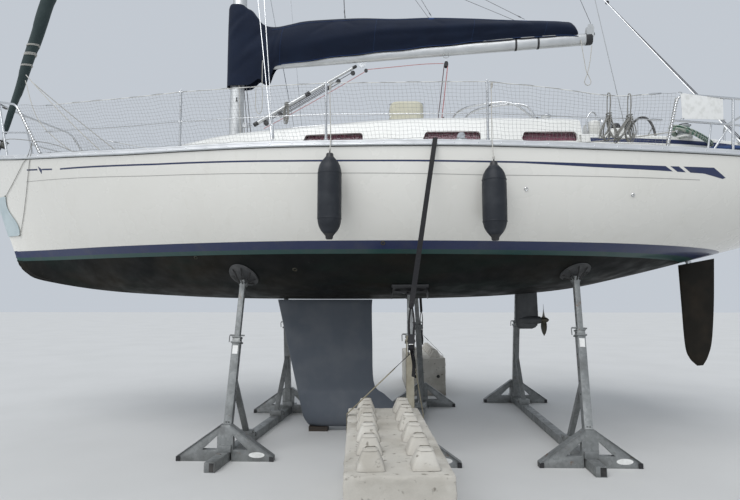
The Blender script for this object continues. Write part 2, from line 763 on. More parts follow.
# %% Ends tied up on the rig
def build_rig_cords():
    tail = [(-0.788, -0.12, 4.064), (-0.79, -0.121, 3.852), (-0.77, -0.122, 3.764), (-0.745, -0.123, 3.739),
        (-0.716, -0.122, 3.776), (-0.706, -0.12, 3.913), (-0.715, -0.118, 4.12), (-0.715, -0.115, 4.416)]
    lay_rope("mast_loop", tail, 0.0048, ROPE_WHITE)
    end = [(3.163, -0.05, 4.655), (3.208, -0.052, 4.291), (3.229, -0.053, 4.223), (3.266, -0.054, 4.119),
        (3.224, -0.056, 4.077), (3.185, -0.055, 4.12), (3.222, -0.062, 4.223), (3.26, -0.06, 4.377),
        (3.293, -0.052, 4.585)]
    lay_rope("boom_end_loop", end, 0.005, ROPE_WHITE, "boom")
    hank = coil_path(pt(-0.415, -0.1, 3.88), pt(-0.42, -0.105, 3.615), 6, 0.03, "vang_hank")
    lay_rope("vang_hank", hank, 0.005, ROPE_GREY)
    wraps = Form()
    for x, y, z, r in ((-0.415, -0.1, 3.838, 0.024), (2.84, rail_y(2.838) + 0.014, 3.17, 0.024),
            (3.037, rail_y(3.035) + 0.014, 3.16, 0.026)):
        wraps.tube([pt(x + r * cos(a), y + r * sin(a), z - 0.016 + 0.0018 * k)
            for k, a in enumerate(spread(0, 8 * pi, 49)) if k < 40], 0.0048, 6)
    make("coil_wraps", wraps, [ROPE_GREY], crease=80)


build_rig_cords()
print("loose rope coiled")

# %% [markdown]
# The hull is one moulded shell of glass fibre. Its shape is a row of stations, each with its height, its
# beam and how full its section is. A smooth curve runs through them, and the skin is a fine grid on it.
# Planes cut the grid at the waterline, so that each band of paint has a clean edge with no image.

# %% The hull's stations
# x at the sheer, x at the bottom, height of the bottom, half beam, fullness
STATIONS = [(-4.18, -3.672, 1.923, 0.022, 0), (-4.08, -3.58, 1.832, 0.08, 0.05),
    (-3.9, -3.471, 1.765, 0.2, 0.1), (-3.6, -3.245, 1.711, 0.38, 0.2), (-3.1, -2.85, 1.645, 0.66, 0.35),
    (-2.5, -2.415, 1.596, 0.935, 0.5), (-1.9, -1.9, 1.562, 1.15, 0.65), (-1.2, -1.2, 1.528, 1.355, 0.8),
    (-0.4, -0.4, 1.514, 1.52, 0.93), (0.5, 0.5, 1.512, 1.61, 1), (1.225, 1.225, 1.52, 1.645, 1),
    (2.1, 2.1, 1.552, 1.63, 0.97), (2.9, 2.9, 1.628, 1.575, 0.93), (3.6, 3.6, 1.775, 1.485, 0.88),
    (4.238, 4.238, 1.933, 1.36, 0.84), (4.7, 4.84, 2.085, 1.25, 0.8),]
SHEER = [(-4.18, 3.24), (-3.2, 3.095), (-2.09, 2.995), (-1.23, 2.957), (0.27, 2.93), (1.77, 2.905),
    (2.9, 2.878), (4.7, 2.858)]
BOW_X, STERN_X = STATIONS[0][0], STATIONS[-1][0]
JOINT_DROP = 0.03
DECK_CAMBER = 0.045
FULL_BEAM = 1.645


def sheer(x):
    return along(SHEER, x)


def half_beam(x):
    return along(STATIONS, x, 3)


def deck_at(x, y):
    beam = half_beam(x)
    return sheer(x) + DECK_CAMBER * (beam / FULL_BEAM) * (1 - (y / beam) ** 2)


def section(x, t, side=-1):
    """A point of the skin: x at the sheer, and t from 0 at the keel line to 1 at the sheer."""
    x_low, z0, beam, full = (along(STATIONS, x, c) for c in (1, 2, 3, 4))
    z1 = sheer(x) - JOINT_DROP
    depth = z1 - z0
    y1, h1 = beam * (0.18 + 0.6 * full), depth * (0.12 - 0.08 * full)
    y2, h2 = beam * (0.5 + 0.48 * full), depth * (0.45 - 0.05 * full)
    a, b, c = 3 * t * (1 - t) ** 2, 3 * t * t * (1 - t), t ** 3
    z = z0 + a * h1 + b * h2 + c * depth
    return pt(x_low + (x - x_low) * (z - z0) / depth, side * (a * y1 + b * y2 + c * beam), z)


def skin(x, z, side=-1, out=0):
    """The skin's place at an x and a height, moved out by a little for what lies on it."""
    low, high = BOW_X, STERN_X
    for _ in range(24):
        station = (low + high) / 2
        t0, t1 = 0, 1
        for _ in range(22):
            t = (t0 + t1) / 2
            t0, t1 = (t, t1) if section(station, t).z < z else (t0, t)
        point = section(station, t, side)
        low, high = (station, high) if point.x < x else (low, station)
    return point + pt(0, side * out, 0)


# %% The hull's skin
# Heights amidships of the lower edges of the gelcoat, the navy stripe and the green one
PAINT_EDGES = (2.062, 1.985, 1.945)
TRIM = -0.007  # the stripes rise towards the bow
HULL_WALL = 0.028


def hull_rows():
    xs = spread(BOW_X, -2.5, 30)[:-1] + spread(-2.5, STERN_X, 70)
    heights = [(i / 44) ** 1.25 for i in range(45)]
    return [[section(x, t) for t in reversed(heights)] + [section(x, t, 1) for t in heights[1:]] for x in xs]


def build_hull():
    form = Form()
    rows = hull_rows()
    form.patch(rows)
    form.face(rows[-1])
    form.face(rows[0], flip=True)
    paints = [TOPSIDES, NAVY_PAINT, GREEN_PAINT, ANTIFOULING, CABIN_PALE]
    hull = make("hull_shell", form, paints, replaces="hull")
    work = bmesh.new()
    work.from_mesh(hull.data)
    for height in PAINT_EDGES:
        bmesh.ops.bisect_plane(work, geom=work.verts[:] + work.edges[:] + work.faces[:],
            plane_co=(0, 0, height), plane_no=(-TRIM, 0, 1))
    for face in work.faces:
        middle = face.calc_center_median()
        face.material_index = sum(middle.z - TRIM * middle.x < edge for edge in PAINT_EDGES)
    work.to_mesh(hull.data)
    work.free()
    modify(hull, "SOLIDIFY", thickness=HULL_WALL, offset=-1)
    shade(hull, 40)
    print("hull faces", len(hull.data.polygons))


build_hull()

# %% [markdown]
# The stripes above are tape on the gelcoat: a thin line from the bow that widens aft into a band with two
# slanted gaps and a pointed end. Each is a narrow strip laid half a millimetre off the skin.

# %% Tape stripes on the topsides
LINE = [(-3.29, 2.969), (-3.19, 2.957), (-2.955, 2.931), (-2.85, 2.92), (-2.734, 2.909), (-1.5, 2.836),
    (-0.172, 2.785), (0.638, 2.764), (1.693, 2.742), (2, 2.737)]
GROOVE = [(-3.345, 2.849), (-1.555, 2.73), (-0.173, 2.671), (0.638, 2.651), (1.693, 2.622), (3.7, 2.61)]
BAND_TOP = [(2, 2.745), (2.7, 2.729), (3.35, 2.722), (3.83, 2.724), (3.965, 2.64)]
BAND_LOW = [(2, 2.729), (2.7, 2.697), (3.4, 2.677), (3.735, 2.668), (3.935, 2.628)]
SLANTS = [3.345, 3.475]  # where the two gaps start along the top
SLANT_WIDE, SLANT_LEAN = 0.045, 0.075
TAPE_OUT = 0.0006


def on_line(points, first, last, count):
    """Places along a line of points, evenly by their x."""
    return [pt(x, straight(points, x)) for x in spread(first, last, count)]


def tape(form, upper, lower, side, finish=0):
    """A strip of the skin between two rows of places, each with its x and height."""
    rows = [[skin(x, z, side, TAPE_OUT) for x, z in (u, u.lerp(v, 0.5), v)] for u, v in zip(upper, lower)]
    return form.patch(rows, finish)


def tape_line(form, points, first, last, wide, side, finish=0):
    middle = on_line(points, first, last, max(3, int((last - first) / 0.12)))
    lift = pt(0, wide / 2)
    return tape(form, [p + lift for p in middle], [p - lift for p in middle], side, finish)


def band_piece(form, side, x0, x1, start_lean, end_lean):
    """A stretch of the band whose ends may lean aft."""
    return tape(form, on_line(BAND_TOP, x0, x1, 12), on_line(BAND_LOW, x0 + start_lean, x1 + end_lean, 12),
        side)


def build_tape():
    for side, name in SIDES:
        form = Form()
        for first, last in ((-3.29, -3.1), (-3.02, -2.86), (-2.734, 2)):
            tape_line(form, LINE, first, last, 0.016, side)
        diamond = [pt(-3.083, 2.978), pt(-3.07, 2.94), pt(-3.043, 2.895)]
        tape(form, diamond, [p + pt(0.048 if i == 1 else 0.004, 0) for i, p in enumerate(diamond)], side)
        a, b = SLANTS
        band_piece(form, side, 2, a, 0, SLANT_LEAN)
        band_piece(form, side, a + SLANT_WIDE, b, SLANT_LEAN, SLANT_LEAN)
        band_piece(form, side, b + SLANT_WIDE, 3.83, SLANT_LEAN, 0)
        tape(form, on_line(BAND_TOP, 3.83, 3.965, 4), on_line(BAND_LOW, 3.83, 3.935, 4), side)
        tape_line(form, GROOVE, GROOVE[0][0], GROOVE[-1][0], 0.006, side, 1)
        make(f"tape_stripes_{name}", form, [NAVY_PAINT, GREY_LINE], open_skin=True)


build_tape()
print("stripes laid on both sides")

# %% [markdown]
# Where deck and hull meet, an aluminium rail is bolted all round. Its section is swept along the sheer:
# a rounded top, a flat face, and a grey plastic strip in its foot, which reads as the line under it.

# %% Toe rails
RAIL_SECTION = [(0.0007, 0.027), (0.003, 0.031), (0.012, 0.031), (0.0165, 0.027), (0.0167, 0.018),
    (0.0142, 0.014), (0.0142, -0.006), (0.0167, -0.01)]
STRIP_SECTION = [(0.0167, -0.01), (0.019, -0.013), (0.019, -0.021), (0.016, -0.024), (0.0007, -0.024)]


def rail_rings(section_points, side, xs):
    return [[pt(x, side * (half_beam(x) + y), sheer(x) + z) for y, z in section_points] for x in xs]


def build_toe_rail(side, name):
    xs = spread(-4.13, STERN_X, 96)
    form = Form()
    form.rings(rail_rings(RAIL_SECTION + [(0.0007, -0.01)], side, xs))
    form.rings(rail_rings(STRIP_SECTION + [(0.0007, -0.01)], side, xs), 1)
    for i in range(40):
        x = -3.9 + i * 0.212
        at = pt(x, side * (half_beam(x) + 0.0142), sheer(x) + 0.004)
        form.turned([(0.006, 0), (0.006, 0.001), (0.004, 0.0022), (0, 0.0026)], at, (0, side, 0), 8, 2)
    make(f"toe_rail_dressed_{name}", form, [RAIL_ALLOY, GREY_PLASTIC, STAINLESS], replaces=f"toe_rail_{name}",
        crease=28)


for side, name in SIDES:
    build_toe_rail(side, name)


# %% [markdown]
# A thin pale sheet hangs over the stem on two lines, so that the anchor chain doesn't chip the gelcoat.
# It follows the skin a few millimetres off it, folded round the stem, so it is read from the same sections.

# %% Stem guard, stemhead fitting and skin fittings
GUARD_LOW, GUARD_HIGH = 2.27, 2.74


def stem_sheet():
    """Rows of the sheet from its top edge down, each from port over the stem to starboard."""
    rows = []
    for z in spread(GUARD_HIGH, GUARD_LOW, 9):
        reach = 0.2 + 0.04 * sin((z - GUARD_LOW) * 14)
        stem = skin(-9, z)
        edge = [skin(stem.x + reach * s, z, -1, 0.01) for s in spread(1, 0.12, 6)]
        front = pt(stem.x - 0.014, 0, z)
        rows.append(edge + [front] + [pt(p.x, -p.y, p.z) for p in reversed(edge)])
    return rows


def build_stem():
    rows = stem_sheet()
    sheet = make("stem_guard", Form().patch(rows), [GUARD_PLASTIC], open_skin=True)
    modify(sheet, "SOLIDIFY", thickness=0.003, offset=1)
    shade(sheet)
    lines = Form()
    for side, end in ((-1, 0), (1, -1)):
        knee = pt(-3.156, side * 0.65, 3.27)
        for corner, rail_x in ((rows[0][end], -3.205), (rows[-1][end], -3.165)):
            over = pt(rail_x, side * (half_beam(rail_x) + 0.021), sheer(rail_x) + 0.036)
            knot = corner + pt(0, side * 0.006, 0)
            way = [skin(p.x, p.z, side, 0.008) for p in (knot.lerp(over, t) for t in spread(0.05, 0.9, 9))]
            lines.tube([knot, *way, over, knee], 0.003, 6)
            lines.turned([(0, -0.01), (0.009, -0.004), (0.009, 0.004), (0, 0.01)], knot, (0, side, 0), 8)
    make("stem_guard_lines", lines, [ROPE_GREY])


def build_skin_fittings():
    form = Form()
    for x, z, size in ((0.754, 2.033, 0.022), (-1.169, 1.935, 0.02), (-0.128, 1.805, 0.026), (2.05, 2.5, 0.018),
            (3.05, 2.46, 0.018)):
        for side in ((-1, 1) if z > 2.4 else (-1,)):
            at = skin(x, z, side)
            out = (skin(x, z - 0.05, side) - skin(x, z + 0.05, side)).cross(pt(-side, 0, 0))
            rim = [(size, -0.004), (size, 0.004), (size * 0.8, 0.008), (size * 0.55, 0.006),
                (size * 0.5, -0.004)]
            form.turned(rim, at, out, 16, 0 if z > 2.4 else 1)
    make("skin_fittings", form, [STAINLESS, BRONZE])


def build_stemhead():
    """The stainless stemhead: a plate over the bow with a roller between two cheeks."""
    form = Form()
    for side in (-1, 1):
        cheek = [(-4.235, 3.262), (-4.225, 3.3), (-4.18, 3.312), (-3.96, 3.262), (-3.96, 3.238), (-4.2, 3.245)]
        form.extrude([(x, side * 0.036 - 0.002, z) for x, z in cheek], (0, 0.004, 0))
    form.slab(-4.19, -3.9, 0.06, 3.243, 3.247)
    form.turned([(0.03, -0.03), (0.016, -0.012), (0.016, 0.012), (0.03, 0.03)], (-4.205, 0, 3.283), Y, 20, 1)
    form.pin(0.006, 0.044, (-4.205, 0, 3.283), Y, 10)
    make("stemhead_fitting", form, [STAINLESS, BLACK_PLASTIC])


GUARD_PLASTIC = plain_paint("guard_plastic", (0.5, 0.58, 0.6), (0.4, 0.48, 0.5), 0.35, 5)
build_stem()
build_skin_fittings()
build_stemhead()
print("bow dressed")

# %% [markdown]
# The deck is a second moulding: side decks, a coachroof with a crowned top, and coamings round the
# cockpit. It could be cut out of one block, as the solid model is. Here each surface is a smooth grid with
# a real wall, and only the windows and hatchways are cut, which leaves clean edges and few stray faces.

# %% The deck's shape
# Coachroof: x, half width at the deck, half width at the roof's edge, height of the edge, crown
ROOF = [(-2.25, 0.43, 0.38, 3.06, 0.01), (-1.98, 0.52, 0.44, 3.11, 0.04), (-1.7, 0.61, 0.51, 3.172, 0.07),
    (-1.35, 0.715, 0.6, 3.222, 0.095), (-0.98, 0.83, 0.7, 3.262, 0.115), (-0.35, 0.985, 0.85, 3.28, 0.135),
    (0.15, 1.06, 0.93, 3.295, 0.145), (0.8, 1.105, 0.97, 3.33, 0.155), (1.4, 1.12, 0.98, 3.34, 0.16),
    (2.75, 1.11, 0.965, 3.325, 0.16),]
ROOF_WALL = 0.035
# Coaming: x, outer half width at the deck, half width at the top, height of the top
COAMING = [(2.74, 1.125, 1.075, 3.165), (3.3, 1.13, 1.08, 3.15), (4, 1.11, 1.065, 3.11),
    (4.48, 1.07, 1.03, 3.05), (4.6, 1.05, 1.02, 2.99)]
COCKPIT_Y, SEAT_Z = 0.985, 2.8


def roof_at(x, y):
    return along(ROOF, x, 3) + along(ROOF, x, 4) * (1 - (y / along(ROOF, x, 2)) ** 2)


def roof_half(x):
    """Half of the coachroof's section, from the deck at its side up to the middle."""
    base, top, edge, crown = (along(ROOF, x, c) for c in (1, 2, 3, 4))
    foot = sheer(x) - 0.01
    height = edge - foot
    bend = min(0.035, height * 0.3)
    wall = [(top + (base - top) * s, foot + height * t) for s, t in ((0.72, 0.25), (0.45, 0.5), (0.18, 0.78))]
    corner = [(top - bend * (1 - cos(a)), edge - bend * (1 - sin(a))) for a in spread(0.25, 1.35, 5)]
    crest = [(top * s, edge + crown * (1 - s * s)) for s in (0.93, 0.84, 0.72, 0.58, 0.42, 0.22)]
    return [(base, foot), *wall, (top, edge - bend), *corner, *crest]


def roof_rows(xs):
    rows = []
    for x in xs:
        half = roof_half(x)
        rows.append([pt(x, -y, z) for y, z in half] + [pt(x, 0, along(ROOF, x, 3) + along(ROOF, x, 4))]
            + [pt(x, y, z) for y, z in reversed(half)])
    return rows


# Windows along each side: first x, last x, low and high z
WINDOWS = [(-0.09, 0.56, 3.085, 3.222), (1.15, 1.755, 3.085, 3.22), (2.145, 2.73, 3.082, 3.214)]
FORE_HATCH = (-1.85, -1.35, 0.25)
HATCHWAY = (2.2, 2.76, 0.3, 2.96)


def rounded_window(x0, x1, z0, z1, inset=0):
    """A window's outline on X and Z, its fore edge raked as the coachroof's lines are."""
    radius, lean = 0.036, 0.018
    x0, x1, z0, z1 = x0 + inset, x1 - inset, z0 + inset, z1 - inset
    return arcs(((x1 - radius, z0 + radius, -90), (x1 - radius, z1 - radius, 0),
        (x0 + radius + lean, z1 - radius, 90), (x0 + radius, z0 + radius, 180)), radius)


def carve(piece, *forms):
    """Cut forms out of a piece."""
    for form in forms:
        tool = make("cutter", form, [], body=None)
        modify(piece, "BOOLEAN", object=tool, operation="DIFFERENCE", solver="EXACT")
        bpy.data.objects.remove(tool)
    return piece


# %% Coachroof
def build_coachroof():
    rows = roof_rows(spread(ROOF[0][0], -1, 18)[:-1] + spread(-1, 2.75, 30))
    form = Form().patch(rows)
    form.face(rows[0], flip=True)
    form.face(rows[-1])
    roof = make("coachroof", form, [DECK_WHITE, CABIN_PALE], open_skin=True)
    modify(roof, "SOLIDIFY", thickness=ROOF_WALL, offset=-1)
    windows = Form()
    for side in (-1, 1):
        for window in WINDOWS:
            outline = [(x, side * 0.7, z) for x, z in rounded_window(*window, inset=0.012)]
            windows.extrude(outline, (0, side * 0.6, 0))
    x0, x1, y = FORE_HATCH
    hatches = Form().box((x0 + 0.04, -y + 0.04, 2.9), (x1 - 0.04, y - 0.04, 3.5))
    x0, x1, y, sill = HATCHWAY
    hatches.slab(x0, x1 + 0.05, y, sill, 3.7)
    carve(roof, windows, hatches)
    shade(roof, 34)
    print("coachroof faces", len(roof.data.polygons))


build_coachroof()

# %% Deck plate, coamings and cockpit surround


def inner_edge(x):
    """Where the side deck's inner edge runs: under the coachroof, then under the coaming."""
    if x < ROOF[0][0]:
        return 0
    if x <= 2.74:
        return along(ROOF, x) - 0.02
    return along(COAMING, min(x, 4.6)) - 0.03


def deck_strip(form, xs, inner, side):
    rows = []
    for x in xs:
        a, b = inner(x), half_beam(x)
        rows.append([pt(x, side * y, deck_at(x, y)) for y in (a + (b - a) * s for s in spread(0, 1, 7))])
    return form.patch(rows)


def coaming_rows():
    rows = []
    for x in spread(COAMING[0][0], COAMING[-1][0], 26):
        base, top, z = (along(COAMING, x, c) for c in (1, 2, 3))
        outside = [(base, sheer(x) - 0.01), (top + (base - top) * 0.5 + 0.008, z - 0.12),
            (top + 0.012, z - 0.04)]
        crown = [(top + 0.008, z - 0.016), (top - 0.008, z - 0.002), (top - 0.04, z),
            (COCKPIT_Y + 0.022, z - 0.002), (COCKPIT_Y + 0.006, z - 0.012), (COCKPIT_Y, z - 0.032)]
        inside = [(COCKPIT_Y, z - 0.2), (COCKPIT_Y, SEAT_Z - 0.03)]
        rows.append([(x, y, h) for y, h in outside + crown + inside])
    return rows


def build_deck():
    form = Form()
    low, step_x, sill_x = SEAT_Z - 0.02, 4.56, 2.78
    for side in (-1, 1):
        deck_strip(form, spread(BOW_X, ROOF[0][0] + 0.08, 34), lambda x: 0, side)
        deck_strip(form, spread(ROOF[0][0], STERN_X, 80), inner_edge, side)
        deck_strip(form, spread(step_x, STERN_X, 4), lambda x: 0, side)
        form.patch([[pt(x, side * y, 2.9225 if y < 1 else 2.93) for y in spread(0, 1.02, 4)]
            for x in spread(2.715, 2.8, 3)])
        rows = [[(x, side * y, z) for x, y, z in row] for row in coaming_rows()]
        form.patch(rows)
        form.face(rows[-1])
        form.face([(step_x, side * y, z) for y, z in ((COCKPIT_Y, low), (0, low), (0, deck_at(step_x, 0)),
            (COCKPIT_Y, deck_at(step_x, COCKPIT_Y)))])
        form.face([(sill_x, side * y, z) for y, z in ((0, low), (COCKPIT_Y, low), (COCKPIT_Y, 2.9225),
            (0, 2.9225))])
    deck = make("deck_moulding", form, [DECK_WHITE, CABIN_PALE], replaces="deck",
        open_skin=True)
    orient_up(deck)
    modify(deck, "SOLIDIFY", thickness=0.006, offset=-1)
    shade(deck, 34)


def orient_up(piece):
    """Turn the faces of open skins to look up and outwards."""
    work = bmesh.new()
    work.from_mesh(piece.data)
    turned = [f for f in work.faces if f.normal.z < -0.2
        or (abs(f.normal.z) <= 0.2 and f.normal.y * f.calc_center_median().y < 0
        and abs(f.calc_center_median().y) > COCKPIT_Y + 0.03)]
    bmesh.ops.reverse_faces(work, faces=turned)
    work.to_mesh(piece.data)
    work.free()


build_deck()

# %% [markdown]
# Where people walk, the gelcoat is moulded with a grain. The panels are thin skins with round corners,
# a hair above the gloss, and the gloss left between them is what makes a deck look like a deck.

# %% Non-skid panels
NONSKID_LIFT = 0.0012


def panel(form, x0, x1, inner, outer, surface, cells=(10, 6)):
    """A patch between two x, with the y of its two sides at each, laid on a surface given as a function."""
    rows = []
    for s in spread(0, 1, cells[0]):
        low, high = (pt(x0, e[0]).lerp(pt(x1, e[1]), s) for e in (inner, outer))
        rows.append([pt(p.x, p.y, surface(p.x, p.y) + NONSKID_LIFT)
            for p in (low.lerp(high, t) for t in spread(0, 1, cells[1]))])
    return form.patch(rows)


def build_nonskid():
    form = Form()

    def seat(x, y):
        return SEAT_Z

    for side in (-1, 1):
        edges = [-3, -2.35, -1.62, -0.9, -0.2, 0.5, 1.2, 1.9, 2.65, 3.4, 4.1, 4.62]
        for x0, x1 in zip(edges, edges[1:]):
            a, b = x0 + 0.03, x1 - 0.03
            inner = [max(inner_edge(x) + 0.05, 0.06) if x > -2.3 else 0.06 for x in (a, b)]
            outer = [half_beam(x) - 0.16 for x in (a, b)]
            if min(outer[0] - inner[0], outer[1] - inner[1]) > 0.05:
                panel(form, a, b, [side * y for y in inner], [side * y for y in outer], deck_at)
        for x0, x1 in ((-1.28, -0.62), (-0.18, 0.6), (0.68, 1.36)):
            inner = side * (0.22 if x0 < -1 else 0.12)
            panel(form, x0, x1, (inner, inner), [side * (0.8 * along(ROOF, x, 2)) for x in (x0, x1)], roof_at)
        for x0, x1 in ((2.86, 3.07), (3.93, 4.48)):
            panel(form, x0, x1, [side * 0.44] * 2, [side * 0.93] * 2, seat)
    panel(form, 2.84, 4.1, (-0.34, -0.34), (0.34, 0.34), lambda x, y: 2.45, (4, 3))
    panel(form, 4.19, 4.5, (-0.36, -0.36), (0.36, 0.36), seat, (3, 3))
    orient_up(make("nonskid_panels", form, [NONSKID], open_skin=True))


build_nonskid()
print("deck and non-skid laid")

# %% [markdown]
# The cabin windows are tinted acrylic in thin black frames, and behind each hangs a pleated curtain.
# The frames are swept round the window's outline on the coachroof's own side, so they follow its lean.
# A flat plane with a bump would look right from the side only. Real pleats catch the light at any angle.


# %% Windows
def roof_wall(x, z, side, out=0):
    """The coachroof's side at an x and a height."""
    half = roof_half(x)
    for (y0, z0), (y1, z1) in zip(half, half[1:]):
        if z < z1:
            return pt(x, side * (y0 + (y1 - y0) * (z - z0) / (z1 - z0) + out), z)
    return pt(x, side * (half[-1][0] + out), z)


def window_ring(window, side, inset, out):
    return [roof_wall(x, z, side, out) for x, z in rounded_window(*window, inset=inset)]


def build_windows(side, name):
    frames = Form()
    for window in WINDOWS:
        levels = [(-0.012, -0.002), (-0.012, 0.004), (-0.008, 0.0065), (0.006, 0.0065), (0.011, 0.003),
            (0.011, -0.006)]
        frames.rings([window_ring(window, side, inset, out) for inset, out in levels], loop=True)
        frames.rings([window_ring(window, side, 0.008, out) for out in (-0.0055, 0.0005)], 1)
    make(f"cabin_windows_{name}", frames, [BLACK_PLASTIC, WINDOW_GLASS], replaces=f"windows_{name}")


for side, name in SIDES:
    build_windows(side, name)


# %% Curtains behind the windows
def curtain_rows(window, side):
    x0, x1, z0, z1 = window
    rows = []
    for z in spread(z1 + 0.028, z0 - 0.012, 6):
        fall = (z1 + 0.03 - z) / (z1 - z0 + 0.05)
        row = []
        for x in spread(x0 - 0.01, x1 + 0.01, 121):
            pleat = sin((x - x0) / 0.0255 * 2 * pi + 0.7 * sin(x * 19 + z * 9))
            deep = 0.0065 * (1 + 0.35 * sin(x * 43)) * (0.6 + 0.5 * fall)
            row.append(roof_wall(x, z, side, -0.036 + deep * pleat))
        rows.append(row)
    return rows


def build_curtain(window, side, name):
    rows = curtain_rows(window, side)
    rail = Form().tube([roof_wall(x, window[3] + 0.03, side, -0.036)
        for x in spread(window[0] - 0.02, window[1] + 0.02, 8)], 0.005, 8)
    rod = make(f"curtain_rail_{name}", rail, [STAINLESS])
    curtain = make(f"curtain_{name}", Form().patch(rows), [CURTAIN_PINK], open_skin=True)
    wide, tall = length_along(rows[2]), length_along([row[0] for row in rows])
    return wide, tall


for side, name in SIDES:
    sizes = [build_curtain(window, side, f"{name}_{i + 1}") for i, window in enumerate(WINDOWS)]
    print(name, "curtains", [tuple(round(v, 2) for v in size) for size in sizes])

# %% Navy bands along the cabin and the coamings
CABIN_BANDS = [(-0.33, -0.125), (0.615, 1.1), (1.805, 2.1)]


def coaming_wall(x, z, side, out=0):
    base, top, height = (along(COAMING, x, c) for c in (1, 2, 3))
    y0, y1 = top + (base - top) * 0.5 + 0.008, top + 0.012
    t = (z - (height - 0.12)) / 0.08
    return pt(x, side * (y0 + (y1 - y0) * t + out), z)


def build_bands():
    form = Form()
    for side in (-1, 1):
        for x0, x1 in CABIN_BANDS:
            rows = []
            for i, x in enumerate(spread(x0, x1, 10)):
                half = 0.02 if i or x0 > 0 else 0.006
                rows.append([roof_wall(x, z, side, 0.0012) for z in spread(3.124 + half, 3.118 - half, 4)])
            form.patch(rows)
        rows = []
        for x in spread(2.83, 4.52, 20):
            top = along(COAMING, x, 3) - 0.042
            low = top - 0.045 * min(1, (4.56 - x) / 0.25)
            rows.append([coaming_wall(x, z, side, 0.0012) for z in spread(top, low, 4)])
        form.patch(rows)
    make("navy_bands", form, [NAVY_PAINT], open_skin=True)


build_bands()

# %% [markdown]
# Hatches are a thin aluminium frame with a tinted pane in it and a seal beneath. The forward one follows
# the roof's crown. The companionway's hatch slides on two rails, and a board closes the way in below it.


# %% Forward hatch and the rails of the sliding hatch
def hatch_outline(x0, x1, y, inset, radius=0.045):
    return arcs(((x1 - inset - radius, y - inset - radius, 0), (x0 + inset + radius, y - inset - radius, 90),
        (x0 + inset + radius, -y + inset + radius, 180), (x1 - inset - radius, -y + inset + radius, 270)),
        radius)


def on_roof(outline, lift):
    return [pt(x, y, roof_at(x, y) + lift) for x, y in outline]


def build_fore_hatch():
    x0, x1, y = FORE_HATCH

    def layers(form, levels, finish, loop=True):
        form.rings([on_roof(hatch_outline(x0, x1, y, i), lift) for i, lift in levels], finish, loop=loop)

    lid = Form()
    layers(lid, [(0.002, 0.012), (0.002, 0.026), (0.008, 0.033), (0.034, 0.033), (0.038, 0.029),
        (0.038, 0.012)], 0)
    layers(lid, [(0.038, 0.02), (0.038, 0.03)], 1, False)
    for hand in (-0.14, 0.14):
        at = pt(x1 - 0.055, hand, roof_at(x1 - 0.055, hand) + 0.006)
        lid.turned([(0.013, 0), (0.013, 0.012), (0.006, 0.012), (0.006, 0.016)], at, Z, 14, 2)
    make("fore_hatch_dressed", lid, [RAIL_ALLOY, DARK_ACRYLIC, BLACK_PLASTIC], "fore_hatch", "fore_hatch")
    seat = Form()
    layers(seat, [(-0.012, -0.004), (-0.012, 0.002), (-0.008, 0.005), (0.036, 0.005), (0.04, 0.001),
        (0.04, -0.034)], 0)
    layers(seat, [(0.014, 0.004), (0.014, 0.0105), (0.024, 0.0105), (0.024, 0.004)], 1)
    for hand in (-0.17, 0.17):
        z = roof_at(x0, hand)
        seat.box((x0 - 0.045, hand - 0.022, z - 0.01), (x0 - 0.014, hand + 0.022, z - 0.0005))
    make("fore_hatch_seat", seat, [RAIL_ALLOY, RUBBER])


def build_hatch_rails():
    form = Form()
    for side in (-1, 1):
        rows = []
        for x in spread(1.6, 2.75, 16):
            low = roof_at(x, 0.335) - 0.01
            top = 3.53 - 0.012 * max(0, (1.66 - x) / 0.06)
            section_points = [(0.32, low), (0.32, top - 0.004), (0.324, top), (0.346, top), (0.35, top - 0.004),
                (0.352, low + 0.012), (0.362, low)]
            rows.append([pt(x, side * y, z) for y, z in section_points])
        form.rings(rows)
    for x in (1.62, 2.08):
        form.slab(x - 0.008, x + 0.008, 0.32, roof_at(x, 0) - 0.01, roof_at(x, 0) + 0.012)
    make("hatch_rails", form, [DECK_WHITE])


build_fore_hatch()
build_hatch_rails()


# %% Sliding hatch and washboard
def build_sliding_hatch():
    x0, x1, y, low = 2.13, 2.8, 0.375, 3.53
    form = Form()

    def plate(inset, z, crown):
        return [pt(px, py, z + crown * (1 - (py / y) ** 2)) for px, py in hatch_outline(x0, x1, y, inset, 0.03)]

    levels = [(0, low + 0.006, 0.008), (0, low + 0.018, 0.004), (0.006, low + 0.023, 0.004),
        (0.02, low + 0.025, 0.006)]
    form.rings([plate(*level) for level in levels])
    pane = [(0.085, low + 0.0262, 0.0052), (0.085, low + 0.0282, 0.0052)]
    form.rings([plate(*level) for level in pane], 1)
    form.slab(x1 - 0.022, x1 - 0.006, 0.2, low - 0.002, low + 0.004)
    grip = bent([(x1 - 0.018, -0.09, low + 0.02), (x1 - 0.018, -0.09, low + 0.031),
        (x1 - 0.018, 0.09, low + 0.031), (x1 - 0.018, 0.09, low + 0.02)], 0.012)
    form.tube(grip, 0.0025, 8, 2)
    make("sliding_hatch_dressed", form, [DECK_WHITE, DARK_ACRYLIC, STAINLESS], "sliding_hatch", "sliding_hatch")


